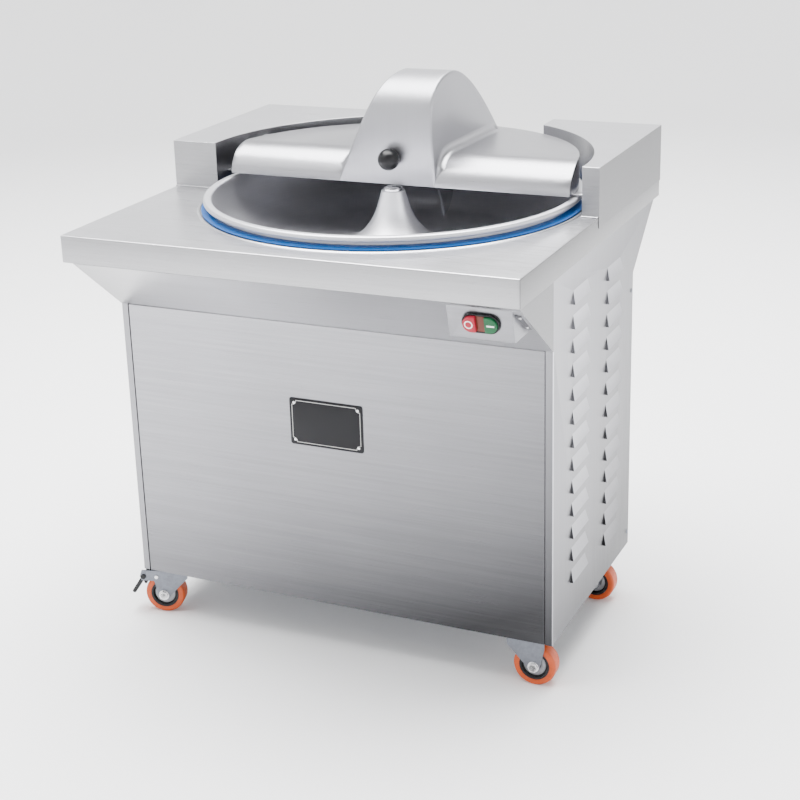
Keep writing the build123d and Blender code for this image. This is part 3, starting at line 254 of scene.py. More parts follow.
def soften(mesh, width, segments=1):
    """Chamfers or rounds the outer edges that are sharper than SHARP."""
    sharp = [edge for edge in mesh.edges
             if len(edge.link_faces) == 2 and edge.is_convex and edge.calc_face_angle(0) > radians(SHARP)]
    bmesh.ops.bevel(mesh, geom=sharp, offset=width, offset_type="OFFSET", segments=segments, profile=0.5,
                    affect="EDGES", clamp_overlap=True, loop_slide=True)


def dress(node, finish, width=0.0, segments=1, crease=24):
    """Replaces a node by a merged copy with softened edges and a finish."""
    mesh = merged_copy(node)
    if width:
        soften(mesh, width, segments)
    finish_piece(node + "_dressed", mesh, node, finish, crease=crease)


def islands(mesh):
    """The vertices of each separate solid in a mesh."""
    left = dict.fromkeys(mesh.verts)
    found = []
    while left:
        stack = [left.popitem()[0]]
        island = []
        while stack:
            vert = stack.pop()
            island.append(vert)
            for other in (edge.other_vert(vert) for edge in vert.link_edges):
                if other in left:
                    del left[other]
                    stack.append(other)
        found.append(island)
    return found


def span(points):
    """The lowest and the highest corner round some points."""
    return [Vector([pick(point[i] for point in points) for i in range(3)]) for pick in (min, max)]


def room(island):
    """The volume of the box round some vertices."""
    low, high = span([vert.co for vert in island])
    return (high.x - low.x) * (high.y - low.y) * (high.z - low.z)


def split_largest(node):
    """A node's largest solid and the rest of its solids, as two meshes."""
    halves = []
    for keep in (True, False):
        mesh = merged_copy(node)
        largest = set(max(islands(mesh), key=room))
        dropped = [vert for vert in mesh.verts if (vert in largest) != keep]
        bmesh.ops.delete(mesh, geom=dropped, context="VERTS")
        halves.append(mesh)
    return halves


def seats(node, outward):
    """The foot and axis of each solid in a node; outward makes the axis from the solid's middle and size."""
    mesh = merged_copy(node)
    found = []
    for island in islands(mesh):
        low, high = span([vert.co for vert in island])
        middle, size = (low + high) / 2, high - low
        axis = Vector(outward(middle, size))
        found.append((middle - axis * abs(axis.dot(size)) / 2, axis))
    mesh.free()
    return found


def arc(centre, radius, start, end, steps):
    """Points of a circle's arc between two angles in degrees, or of an ellipse's with a pair of radii."""
    across, up = radius if isinstance(radius, tuple) else (radius, radius)
    angles = [radians(start + (end - start) * i / steps) for i in range(steps + 1)]
    return [(centre[0] + across * cos(angle), centre[1] + up * sin(angle)) for angle in angles]


def rings(mesh, profile, segments, place=Matrix()):
    """A ring of vertices for each radius and height of a profile, and one vertex for a point on the axis."""
    turns = [tau * i / segments for i in range(segments)]
    return [[mesh.verts.new(place @ Vector((radius * cos(turn), radius * sin(turn), height)))
             for turn in (turns if radius > ON_AXIS else turns[:1])] for radius, height in profile]


def bridge(mesh, rows, closed=True):
    """Joins loops of vertices, or single vertices, with faces; closed also joins the last to the first."""
    for row, following in zip(rows, rows[1:] + rows[:1] if closed else rows[1:]):
        count = max(len(row), len(following))
        for i in range(count if count > 1 else 0):
            j = (i + 1) % count
            corners = (row[i % len(row)], row[j % len(row)], following[j % len(following)],
                       following[i % len(following)])
            mesh.faces.new(list(dict.fromkeys(corners)))


def lathe(profile, segments, place):
    """Turns a closed (radius, height) outline about the local Z axis and puts it in place."""
    mesh = bmesh.new()
    bridge(mesh, rings(mesh, profile, segments, place))
    bmesh.ops.recalc_face_normals(mesh, faces=mesh.faces)
    return mesh


def mirrored(profile):
    """A profile followed by its mirror image across its axis' middle."""
    return profile + [(radius, -height) for radius, height in profile[::-1]]


def flowing(points, steps):
    """Points along a smooth curve that passes through the given ones."""
    given = [Vector(point) for point in points]
    given = [given[0] * 2 - given[1]] + given + [given[-1] * 2 - given[-2]]
    line = []
    for a, b, c, d in zip(given, given[1:], given[2:], given[3:]):
        for step in range(steps):
            t = step / steps
            line.append(tuple(0.5 * (2 * b + (c - a) * t + (2 * a - 5 * b + 4 * c - d) * t ** 2
                                     + (3 * b - a - 3 * c + d) * t ** 3)))
    return line + [tuple(given[-2])]


def rounded(low, high, radius, steps):
    """A closed outline of a rectangle with round corners."""
    left, right, bottom, top = low[0] + radius, high[0] - radius, low[1] + radius, high[1] - radius
    corners = (((right, bottom), -90), ((right, top), 0), ((left, top), 90), ((left, bottom), 180))
    return [point for centre, start in corners for point in arc(centre, radius, start, start + 90, steps)]


def ribbon(path, width, thickness, place):
    """A closed raised line of rectangular section along a flat path."""
    mesh = bmesh.new()
    rows = []
    count = len(path)
    for i, point in enumerate(path):
        before = (Vector(point) - Vector(path[i - 1])).normalized()
        after = (Vector(path[(i + 1) % count]) - Vector(point)).normalized()
        across = Vector((before.y + after.y, -before.x - after.x)).normalized()
        reach = width / 2 / max(across.dot(Vector((before.y, -before.x))), 0.5)
        inner = Vector(point) - across * reach
        outer = Vector(point) + across * reach
        rows.append([mesh.verts.new(place @ Vector((x, y, z))) for x, y, z in
                     ((*inner, 0), (*outer, 0), (*outer, thickness), (*inner, thickness))])
    bridge(mesh, rows)
    bmesh.ops.recalc_face_normals(mesh, faces=mesh.faces)
    return mesh


# ---- Materials ----
def add_node(tree, kind, inputs, **settings):
    """A node whose inputs are linked to other nodes' outputs or set to plain values."""
    node = tree.nodes.new(kind)
    for name, value in settings.items():
        setattr(node, name, value)
    for name, value in inputs.items():
        if isinstance(value, bpy.types.NodeSocket):
            tree.links.new(value, node.inputs[name])
        else:
            node.inputs[name].default_value = value
    return node


class Finish:
    """A node material built step by step round one Principled shader."""

    def __init__(self, base, metallic, roughness, **values):
        self.base = tuple(base)
        self.roughness = roughness
        self.material = bpy.data.materials.new("finish")
        self.material.use_nodes = True
        self.material.diffuse_color = (*base, 1)
        self.tree = self.material.node_tree
        self.tree.nodes.clear()
        self.shader = self.node("ShaderNodeBsdfPrincipled", {"Base Color": (*base, 1), "Metallic": metallic,
                                                             "Roughness": roughness})
        for name, value in values.items():
            self.shader.inputs[name.replace("_", " ")].default_value = value
        self.node("ShaderNodeOutputMaterial", {"Surface": self.shader.outputs["BSDF"]})
        self.coordinates = self.node("ShaderNodeTexCoord", {}).outputs["Object"]

    def node(self, kind, inputs, **settings):
        return add_node(self.tree, kind, inputs, **settings)

    def surface(self, name, source):
        self.tree.links.new(source, self.shader.inputs[name])

    def mapped(self, scale, location=(0, 0, 0)):
        return self.node("ShaderNodeMapping", {"Scale": scale, "Location": location,
                                               "Vector": self.coordinates}).outputs["Vector"]

    def noise(self, scale, detail=3, roughness=0.55, vector=None):
        return self.node("ShaderNodeTexNoise", {"Scale": scale, "Detail": detail, "Roughness": roughness,
                                                "Vector": vector or self.coordinates}).outputs["Fac"]

    def ranged(self, source, low, high, start=0.3, end=0.7):
        return self.node("ShaderNodeMapRange", {"Value": source, "From Min": start, "From Max": end,
                                                "To Min": low, "To Max": high}).outputs["Result"]

    def multiplied(self, one, other):
        return self.node("ShaderNodeMath", {0: one, 1: other}, operation="MULTIPLY").outputs["Value"]

    def split(self, vector):
        return self.node("ShaderNodeSeparateXYZ", {"Vector": vector}).outputs

    def turned(self, x, y, scale):
        """Coordinates that follow circles about a vertical axis, and the distance from that axis."""
        centred = self.mapped((1, 1, 0), (-x, -y, 0))
        reach = self.node("ShaderNodeVectorMath", {0: centred}, operation="LENGTH")
        circles = self.node("ShaderNodeCombineXYZ", {"X": reach.outputs["Value"],
                                                     "Y": self.split(self.coordinates)["Z"]})
        sized = self.node("ShaderNodeVectorMath", {0: circles.outputs["Vector"], "Scale": scale},
                          operation="SCALE")
        return sized.outputs["Vector"], reach.outputs["Value"]

    def shade(self, factor):
        """Scales the base colour by a factor that varies over the surface."""
        tint = self.node("ShaderNodeVectorMath", {0: self.base, "Scale": factor}, operation="SCALE")
        self.surface("Base Color", tint.outputs["Vector"])

    def polish_and_painted_highlight(self, factor, low, high):
        """Varies the roughness with a factor, by low to high."""
        self.surface("Roughness", self.ranged(factor, self.roughness + low, self.roughness + high))

    def bump(self, height, strength):
        bump = self.node("ShaderNodeBump", {"Strength": strength, "Distance": 0.0004, "Height": height})
        self.surface("Normal", bump.outputs["Normal"])


def brushed(base, roughness, grain, streak=0.05, cloud=0.04, painted_fade=None, faces=None):
    """Sheet steel with fine straight brush marks, and painted light and shade in its tone.

    painted_fade is a direction, its range and the tone at its two ends: a painted shade along that direction.
    faces names tones of painted light and shade for some directions of face: "upright" for faces that stand
    up, "flank" for faces to the right, "hood" for faces that lean out of a side panel, and
    "front" for how much darker a forward face is painted at its foot than at its top."""
    finish = Finish(base, 1.0, roughness)
    fine = finish.noise(1.0, 4, 0.7, finish.mapped(grain))
    broad = finish.noise(1.0, vector=finish.mapped([value * 0.22 for value in grain]))
    clouds = finish.noise(3.2, 2)
    marks = finish.multiplied(finish.ranged(fine, 1 - streak, 1 + streak),
                              finish.ranged(broad, 1 - streak * 0.7, 1 + streak * 0.7))
    tone = finish.multiplied(marks, finish.ranged(clouds, 1 - cloud, 1 + cloud))
    # Painted shade: the tone darkens from one end of the given direction to the other.
    if painted_fade:
        direction, start, end, low, high = painted_fade
        along = finish.node("ShaderNodeVectorMath", {0: finish.coordinates, 1: direction},
                            operation="DOT_PRODUCT")
        tone = finish.multiplied(tone, finish.ranged(along.outputs["Value"], low, high, start, end))
    # Painted light and shade by the way a face is turned: upright faces, faces to the right and the feet of
    # forward faces are painted darker, and faces that lean out of a side panel are painted lighter.
    if faces:
        facing = finish.split(finish.node("ShaderNodeNewGeometry", {}).outputs["True Normal"])
        if "upright" in faces:
            tone = finish.multiplied(tone, finish.ranged(facing["Z"], faces["upright"], 1.0, 0.1, 0.9))
        if "flank" in faces:
            tone = finish.multiplied(tone, finish.ranged(facing["X"], 1.0, faces["flank"], 0.5, 0.95))
        if "hood" in faces:
            lean = finish.multiplied(finish.ranged(facing["X"], 1.0, 0.0, 0.95, 0.99),
                                     finish.ranged(facing["X"], 0.0, 1.0, 0.5, 0.6))
            tone = finish.multiplied(tone, finish.ranged(lean, 1.0, faces["hood"], 0, 1))
        if "front" in faces:
            height = finish.split(finish.coordinates)["Z"]
            drop = finish.multiplied(finish.ranged(facing["Y"], 1, 0, -0.95, -0.5),
                                     finish.ranged(height, faces["front"], 0.1, 0.08, 0.7))
            tone = finish.multiplied(tone, finish.ranged(drop, 1, 0, 0, 1))
    finish.shade(tone)
    finish.polish_and_painted_highlight(fine, -0.05, 0.07)
    finish.bump(fine, 0.05)
    return finish.material


def turned_steel(base, roughness, x, y, hub_radius=None, hub_highlight=1.0):
    """Steel with fine rings about a vertical axis, and a hub painted brighter as a painted highlight where one is
    asked for.
    """
    finish = Finish(base, 1.0, roughness)
    circles, reach = finish.turned(x, y, 900)
    fine = finish.noise(1.0, 4, 0.7, circles)
    clouds = finish.noise(4.5, 2)
    factor = finish.multiplied(finish.ranged(fine, 0.95, 1.05), finish.ranged(clouds, 0.96, 1.04))
    # Painted highlight: the colour is painted brighter near the hub.
    if hub_radius:
        polish_and_painted_highlight = finish.ranged(reach, hub_highlight, 1.0, hub_radius * 0.6, hub_radius * 1.7)
        factor = finish.multiplied(factor, polish_and_painted_highlight)
    finish.shade(factor)
    finish.polish_and_painted_highlight(fine, -0.04, 0.06)
    finish.bump(fine, 0.04)
    return finish.material


def plated(base, roughness=0.38):
    """Zinc plate with a faint spangle and handling marks."""
    finish = Finish(base, 1.0, roughness)
    cells = finish.node("ShaderNodeTexVoronoi", {"Scale": 260, "Vector": finish.coordinates})
    marks = finish.noise(90, 5, 0.65)
    spangle = finish.ranged(finish.split(cells.outputs["Color"])["X"], 0.93, 1.06, 0, 1)
    finish.shade(finish.multiplied(spangle, finish.ranged(marks, 0.86, 1.06)))
    finish.polish_and_painted_highlight(marks, -0.08, 0.12)
    finish.bump(marks, 0.06)
    return finish.material


def moulded(base, roughness, coat=0.0, grain=1400, texture=0.04, dusty=0.07, gloss=0.5):
    """Moulded plastic with a fine skin texture and a trace of dust in its colour."""
    finish = Finish(base, 0.0, roughness, Coat_Weight=coat, Coat_Roughness=0.12, Specular_IOR_Level=gloss)
    skin = finish.noise(grain, 2)
    dust = finish.noise(60, 4)
    finish.shade(finish.ranged(dust, 1 - dusty, 1 + dusty))
    finish.polish_and_painted_highlight(dust, -0.04, 0.08)
    finish.bump(skin, texture)
    return finish.material


def tyre_rubber(base, roughness=0.42):
    """Cast tyre with a soft skin, slight mottling and scuffed running surface."""
    finish = Finish(base, 0.0, roughness, Specular_IOR_Level=0.45)
    skin = finish.noise(700)
    scuff = finish.noise(120, 5, 0.7)
    finish.shade(finish.ranged(scuff, 0.82, 1.06))
    finish.polish_and_painted_highlight(scuff, 0.12, -0.06)
    finish.bump(skin, 0.08)
    return finish.material


def painted(base, roughness=0.45, peel=0.06, coat=0.15, gloss=0.5):
    """Sprayed paint with a light orange peel."""
    finish = Finish(base, 0.0, roughness, Coat_Weight=coat, Specular_IOR_Level=gloss)
    skin = finish.noise(420, 2)
    tone = finish.noise(14)
    finish.shade(finish.ranged(tone, 0.92, 1.06))
    finish.polish_and_painted_highlight(tone, -0.05, 0.06)
    finish.bump(skin, peel)
    return finish.material


def machined_iron(base, roughness=0.5):
    """Cast iron, turned on its faces."""
    finish = Finish(base, 0.85, roughness)
    pits = finish.noise(320, 5, 0.7)
    finish.shade(finish.ranged(pits, 0.8, 1.15))
    finish.polish_and_painted_highlight(pits, -0.08, 0.1)
    finish.bump(pits, 0.12)
    return finish.material


FINISHES = {}


def finish_of(name):
    """Makes each material once, on first use."""
    if name in FINISHES:
        return FINISHES[name]
    scene = bpy.context.scene
    steel, switch, bowl = scene.cutter_steel, scene.cutter_switch, scene.cutter_bowl
    rough = steel.roughness
    across, upright = (9, 900, 900), (900, 900, 9)
    makers = {
        # front_sheet: painted shade, darker towards the bottom and the right.
        "front_sheet": lambda: brushed(steel.sheet, rough - 0.04, across, 0.09, 0.05,
                                       ((-0.45, 0, 1), -0.02, 0.74, 0.12, 1.22)),
        # rear_sheet: painted shade, darker towards the bottom.
        "rear_sheet": lambda: brushed(steel.side, rough, across, 0.06, 0.05,
                                      ((0, 0, 1), 0.0, 0.7, 0.65, 1.15)),
        # apron_sheet: the worktop's lighter tone with painted shade, darker at its left end and on faces to the
        # right.
        "apron_sheet": lambda: brushed(steel.top, rough - 0.02, across, 0.05, 0.03,
                                       ((1, 0, 0), -0.42, -0.12, 0.3, 0.92), {"flank": 0.3}),
        # side_sheet: painted shade, darker towards the bottom and the rear and at the feet of forward faces;
        # louvre hoods painted lighter.
        "side_sheet": lambda: brushed(steel.side, rough, upright, 0.04, 0.04,
                                      ((0, -0.9, 1), 0.02, 0.86, 0.18, 1.1), {"hood": 2.6, "front": 0.7}),
        # left_side_sheet: painted shade, darker towards the bottom and the rear; louvre hoods painted lighter.
        "left_side_sheet": lambda: brushed(steel.side, rough, upright, 0.04, 0.04,
                                           ((0, -0.5, 1), -0.2, 0.86, 0.4, 1.1), {"hood": 1.5}),
        # box_sheet: the switch box's darker tone is painted shade.
        "box_sheet": lambda: brushed(steel.box, rough - 0.02, across, 0.05, 0.03),
        # worktop_sheet and housing_sheet: painted shade, upright faces and faces to the right darker than the
        # tops.
        "worktop_sheet": lambda: brushed(steel.top, rough - 0.04, across, 0.05, 0.03,
                                         faces={"upright": 0.55, "flank": 0.42}),
        "housing_sheet": lambda: brushed(steel.top, rough - 0.04, across, 0.05, 0.03,
                                         faces={"upright": 0.5, "flank": 0.5}),
        "lid_sheet": lambda: brushed(steel.lid, rough - 0.03, across, 0.04, 0.03),
        "arch_sheet": lambda: brushed(steel.lid, rough + 0.06, (900, 14, 14), 0.03, 0.03),
        "flare_sheet": lambda: brushed(steel.lid, rough, (200, 14, 200), 0.02, 0.02),
        # bowl_steel: the colour near the hub is painted brighter, a painted highlight.
        "bowl_steel": lambda: turned_steel(steel.bowl, 0.42, bowl.x, bowl.y, 0.07, 1.35),
        "rim_steel": lambda: turned_steel(steel.top, 0.24, bowl.x, bowl.y),
        "plain_steel": lambda: brushed(steel.top, 0.3, (500, 500, 30), 0.03, 0.03),
        "blade_steel": lambda: brushed((0.74, 0.75, 0.77), 0.18, (700, 700, 40), 0.03, 0.02),
        "zinc": lambda: plated(steel.zinc),
        "hub_grey": lambda: plated((0.26, 0.265, 0.28), 0.42),
        "bright_rivet": lambda: plated((0.80, 0.80, 0.81), 0.25),
        "iron": lambda: machined_iron((0.20, 0.20, 0.205)),
        "frame_paint": lambda: painted((0.12, 0.125, 0.135)),
        "motor_paint": lambda: painted((0.07, 0.14, 0.24), 0.4),
        "plate_black": lambda: painted((0.007, 0.007, 0.009), 0.4, 0.03, 0.0, 0.2),
        "plate_line": lambda: moulded((0.62, 0.62, 0.60), 0.4),
        "black_gloss": lambda: moulded((0.004, 0.004, 0.005), 0.3, gloss=0.3),
        "black_satin": lambda: moulded((0.008, 0.008, 0.009), 0.42, grain=900, texture=0.08, gloss=0.3),
        "stop_cap": lambda: moulded(switch.stop, 0.4, gloss=0.3),
        "start_cap": lambda: moulded(switch.start, 0.4, gloss=0.3),
        "lamp_lens": lambda: moulded(switch.lamp, 0.36, gloss=0.3),
        "white_mark": lambda: moulded((0.86, 0.86, 0.84), 0.35, coat=0.1),
        "blue_ring": lambda: moulded((0.0, 0.07, 0.27), 0.38, texture=0.02, dusty=0.02, gloss=0.3),
        "tyre": lambda: tyre_rubber(scene.cutter_caster.tread),
        "belt": lambda: tyre_rubber((0.02, 0.02, 0.021), 0.6),
    }
    FINISHES[name] = makers[name]()
    FINISHES[name].name = name
    return FINISHES[name]


# ---- Geometry Nodes heads ----
def head_tree(name, shape):
    """A tree that sets one fastener head on every point, along that point's axis."""
    tree = bpy.data.node_groups.new(name, "GeometryNodeTree")
    sockets = {label: tree.interface.new_socket(label, in_out="INPUT", socket_type="NodeSocket" + kind)
               for label, kind in (("Points", "Geometry"), ("Radius", "Float"), ("Height", "Float"),
                                   ("Material", "Material"))}
    tree.interface.new_socket("Heads", in_out="OUTPUT", socket_type="NodeSocketGeometry")
    entry = tree.nodes.new("NodeGroupInput").outputs

    def made(kind, inputs, **settings):
        """The first output of a new node."""
        return add_node(tree, kind, inputs, **settings).outputs[0]

    def scaled(label, factor):
        return made("ShaderNodeMath", {0: entry[label], 1: factor}, operation="MULTIPLY")

    joined = add_node(tree, "GeometryNodeJoinGeometry", {})
    for sides, low, high, start, depth in shape:
        cone = made("GeometryNodeMeshCone", {"Vertices": sides, "Radius Top": scaled("Radius", high),
                                             "Radius Bottom": scaled("Radius", low),
                                             "Depth": scaled("Height", depth)})
        offset = made("ShaderNodeCombineXYZ", {"Z": scaled("Height", start)})
        moved = made("GeometryNodeTransform", {"Geometry": cone, "Translation": offset})
        tree.links.new(moved, joined.inputs["Geometry"])
    axis = made("GeometryNodeInputNamedAttribute", {"Name": "axis"}, data_type="FLOAT_VECTOR")
    aim = made("FunctionNodeAlignRotationToVector", {"Vector": axis}, axis="Z")
    put = made("GeometryNodeInstanceOnPoints", {"Points": entry["Points"], "Instance": joined.outputs[0],
                                                "Rotation": aim})
    real = made("GeometryNodeRealizeInstances", {"Geometry": put})
    paint = made("GeometryNodeSetMaterial", {"Geometry": real, "Material": entry["Material"]})
    add_node(tree, "NodeGroupOutput", {"Heads": paint})
    return tree, {label: socket.identifier for label, socket in sockets.items()}


def place_heads(name, node, shape, points, radius, height, finish, replaced=True):
    """Sets heads made with Geometry Nodes on points, with the body of a node."""
    data = bpy.data.meshes.new(name + "_points")
    data.from_pydata([point for point, _ in points], [], [])
    axes = data.attributes.new("axis", "FLOAT_VECTOR", "POINT")
    for item, (_, axis) in zip(axes.data, points):
        item.vector = axis
    source = add_object(name + "_points", data)
    tree, names = head_tree(name, shape)
    modifier = source.modifiers.new("Heads", "NODES")
    modifier.node_group = tree
    for label, value in (("Radius", radius), ("Height", height), ("Material", finish_of(finish))):
        modifier[names[label]] = value
    graph = bpy.context.evaluated_depsgraph_get()
    result = bpy.data.meshes.new_from_object(source.evaluated_get(graph), depsgraph=graph)
    bpy.data.objects.remove(source)
    mesh = bmesh.new()
    mesh.from_mesh(result)
    bpy.data.meshes.remove(result)
    if not mesh.faces:
        raise RuntimeError("no heads were made for " + node)
    bmesh.ops.recalc_face_normals(mesh, faces=mesh.faces)
    finish_piece(name, mesh, node, finish, replaced)


# ---- Pieces ----
class Step:
    """What the operators share: each builds its own pieces into the scene."""

    def execute(self, context):
        self.build(context.scene)
        return {"FINISHED"}


class CUTTER_OT_cabinet(Step, bpy.types.Operator):
    """Dress the cabinet's panels, frame, base plate and aprons"""
    bl_idname = "cutter.cabinet"
    bl_label = "Cabinet"

    def build(self, scene):
        edge = scene.cutter_steel.edge
        for node, finish, share in (("front_panel", "front_sheet", 0.7), ("rear_panel", "rear_sheet", 0.7),
                                    ("front_apron", "apron_sheet", 0.7), ("rear_apron", "apron_sheet", 0.7),
                                    ("left_side_panel", "left_side_sheet", 0.5),
                                    ("right_side_panel", "side_sheet", 0.5),
                                    ("base_plate", "zinc", 1), ("inner_frame", "frame_paint", 1)):
            dress(node, finish, edge * share)


class CUTTER_OT_worktop(Step, bpy.types.Operator):
    """Dress the worktop and the two side housings"""
    bl_idname = "cutter.worktop"
    bl_label = "Worktop and housings"

    def build(self, scene):
        steel = scene.cutter_steel
        dress("worktop", "worktop_sheet", steel.fold, 2)
        for node in ("left_housing", "right_housing"):
            dress(node, "housing_sheet", steel.edge * 0.7)


class CUTTER_OT_bowl(Step, bpy.types.Operator):
    """Turn the bowl, its blue ring and its cap, and dress the spindle"""
    bl_idname = "cutter.bowl"
    bl_label = "Bowl"

    def build(self, scene):
        bowl = scene.cutter_bowl
        place = Matrix.Translation((bowl.x, bowl.y, 0))
        neck = CONE[0][1] * MM
        start = bowl.rim_inner - bowl.curve
        rise = bowl.rim_top - bowl.rim_depth - bowl.floor
        food = flowing(metres(CONE), 6)
        food += arc((start, bowl.floor + rise), (bowl.curve, rise), -90, 0, 30)
        under = []
        for i, (radius, height) in enumerate(food):
            before = Vector(food[max(i - 1, 0)])
            after = Vector(food[min(i + 1, len(food) - 1)])
            along = (after - before).normalized()
            under.append((radius + along.y * bowl.wall, height - along.x * bowl.wall))
        edge = bowl.rim_edge
        inner, outer = bowl.rim_inner + edge, bowl.rim_outer - edge
        low, high = bowl.rim_top - bowl.rim_depth + edge, bowl.rim_top - edge
        rim = arc((inner, high), edge, 180, 90, 6) + arc((outer, high), edge, 90, 0, 6)
        rim += arc((outer, low), edge, 0, -90, 6) + arc((inner, low), edge, 270, 255, 1)
        outline = [(bowl.hole, neck)] + food + rim + under[::-1] + [(bowl.hole, neck - bowl.wall)]
        finish_piece("bowl_shell", lathe(outline, bowl.segments, place), "bowl", "bowl_steel", crease=40)
        low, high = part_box("bowl_ring")
        ring = metres(RING, 0, low.z) + [(radius * MM, high.z) for radius in RING_TOP]
        finish_piece("bowl_ring_band", lathe(ring, bowl.segments, place), "bowl_ring", "blue_ring")
        cap = metres(CAP, 0, neck) + [(0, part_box("bowl_cap")[1].z)]
        finish_piece("bowl_cap_dome", lathe(cap, 64, place), "bowl_cap", "rim_steel")
        dress("bowl_spindle", "plain_steel")


def lid_line(steps):
    """Points of the lid's outline from its lip over the bend to the rear, with their outward directions."""
    line = []
    for i in range(steps + 1):
        angle = radians(90 * i / steps)
        y = LID_FRONT + LID_BEND * (1 - cos(angle))
        z = LID_LIP + (LID_TOP - LID_LIP) * sin(angle)
        out = Vector((-sin(pi / 2 - angle) * (LID_TOP - LID_LIP), sin(angle) * LID_BEND)).normalized()
        line.append((y, z, out))
    for i in range(1, steps + 1):
        y = LID_FRONT + LID_BEND + (FLARE_END - LID_FRONT - LID_BEND) * i / steps
        height = LID_TOP - LID_SLOPE * (y - LID_FRONT - LID_BEND)
        line.append((y, height, Vector((LID_SLOPE, 1)).normalized()))
    return line


def flare(side, size):
    """The hollow bend that runs along the seam of the lid and one wall of the arch."""
    lean = 0 if side > 0 else ARCH_LEAN
    away = Vector((side, 0, 0))
    rows = []
    for y, z, out in lid_line(28):
        rise = min(max((z - LID_LIP) / BROW_RISE, 0), 1)
        front = LID_FRONT - ARCH_BULGE * sin(rise * pi / 2)
        space = (y - front) / max(-out.x, 0.05) - FLARE_MARGIN
        ease = min(1, max(0, (FLARE_END - y) / FLARE_TAPER))
        reach = min(size, space) * (1 - (1 - ease) ** 2)
        if reach < FLARE_LEAST:
            continue
        seam = Vector((ARCH_RIGHT if side > 0 else ARCH_LEFT + lean * (z - LID_LIP), y, z))
        up = Vector((lean * out.y, out.x, out.y)).normalized()
        normal = Vector((0, out.x, out.y))
        turns = [step / 8 for step in range(9)]
        row = [seam + away * reach * (1 - t) ** 2 + up * reach * t ** 2 for t in turns]
        row[0] -= normal * FLARE_TUCK
        row[-1] -= away * FLARE_TUCK
        row.append(seam - (normal + away) * FLARE_SINK)
        rows.append(row)
    mesh = bmesh.new()
    rows = [[mesh.verts.new(point) for point in row] for row in rows]
    bridge(mesh, rows, closed=False)
    mesh.faces.new(rows[0])
    mesh.faces.new(rows[-1][::-1])
    bmesh.ops.recalc_face_normals(mesh, faces=mesh.faces)
    return mesh


class CUTTER_OT_lid(Step, bpy.types.Operator):
    """Dress the lid, its arch and hinge, and turn the ball knob"""
    bl_idname = "cutter.lid"
    bl_label = "Lid"

    def build(self, scene):
        edge = scene.cutter_steel.edge
        size = scene.cutter_lid.flare
        dress("lid_cover", "lid_sheet", edge, 2)
        dress("lid_arch", "arch_sheet", edge, 2, 30)
        for side, name in ((-1, "lid_flare_left"), (1, "lid_flare_right")):
            finish_piece(name, flare(side, size), "lid_cover", "flare_sheet", False, 40)
        for node in ("lid_hinge", "hinge_bracket", "hinge_pin", "lid_rests"):
            dress(node, "plain_steel", edge)
        low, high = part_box("lid_knob")
        radius = (high.z - low.z) / 2
        centre = Vector(((low.x + high.x) / 2, low.y + radius, (low.z + high.z) / 2))
        neck = 0.007
        shoulder = neck + 0.002
        turn = atan2(sqrt((radius - 0.0004) ** 2 - shoulder ** 2), shoulder)
        outline = arc((0, 0), radius, -90, degrees(turn), 40)
        foot = radius * sin(turn)
        outline += [(neck + 0.0006, foot + 0.001), (neck, foot + 0.002), (neck, high.y - centre.y),
                    (0, high.y - centre.y)]
        place = Matrix.Translation(centre) @ Matrix.Rotation(-pi / 2, 4, "X")
        finish_piece("lid_knob_ball", lathe(outline, 72, place), "lid_knob", "black_gloss", crease=40)


class CUTTER_OT_knives(Step, bpy.types.Operator):
    """Dress the knives, their shaft, spacers and nut, and the tube that carries them"""
    bl_idname = "cutter.knives"
    bl_label = "Knives"

    def build(self, scene):
        edge = scene.cutter_steel.edge
        dress("knives", "blade_steel", edge)
        for node in ("knife_spacers", "knife_nut", "knife_shaft", "bearing_tube"):
            dress(node, "plain_steel", edge)


class CUTTER_OT_drive(Step, bpy.types.Operator):
    """Dress the motors, pulleys, belts and the bowl's spindle housing"""
    bl_idname = "cutter.drive"
    bl_label = "Drives"

    def build(self, scene):
        edge = scene.cutter_steel.edge
        for node in ("knife_motor", "bowl_gearmotor"):
            dress(node, "motor_paint", edge * 2)
        for node in ("knife_pulley", "motor_rotor", "spindle_housing"):
            dress(node, "iron", edge)
        dress("v_belts", "belt")


class CUTTER_OT_switch(Step, bpy.types.Operator):
    """Dress the switch box, its caps and lamp, and add the caps' marks"""
    bl_idname = "cutter.switch"
    bl_label = "Switch"

    def build(self, scene):
        edge = scene.cutter_steel.edge
        for node, finish, share, segments in (
            ("switch_box", "box_sheet", 1.5, 2), ("button_bezel", "black_gloss", 1, 2),
            ("lamp", "lamp_lens", 1, 2), ("stop_button", "stop_cap", 2, 3),
            ("start_button", "start_cap", 2, 3),
        ):
            dress(node, finish, edge * share, segments)
        switch = scene.cutter_switch
        press = next(joint["axis"] for joint in frame["joints"] if joint["name"] == "stop_press")
        out = -Vector(press).normalized()
        up = out.cross(Vector((1, 0, 0))).normalized()
        turn = Matrix((up.cross(out).normalized(), up, out)).transposed().to_4x4()
        for node in ("stop_button", "start_button"):
            cap = merged_copy(node)
            reach = max(vert.co.dot(out) for vert in cap.verts)
            low, high = span([vert.co for vert in cap.verts if vert.co.dot(out) > reach - 2e-5])
            cap.free()
            place = Matrix.Translation((low + high) / 2) @ turn
            if node == "stop_button":
                ring = rounded((switch.mark - switch.stroke, -0.0002), (switch.mark, 0.0002), 0.00015, 3)
                mark = lathe(ring, 48, place)
            else:
                size = Matrix.Diagonal((switch.bar, switch.stroke * 1.45, 0.0004, 1))
                mark = bmesh.new()
                bmesh.ops.create_cube(mark, size=1, matrix=place @ size)
                soften(mark, 0.0001)
            finish_piece(node + "_mark", mark, node, "white_mark", False)


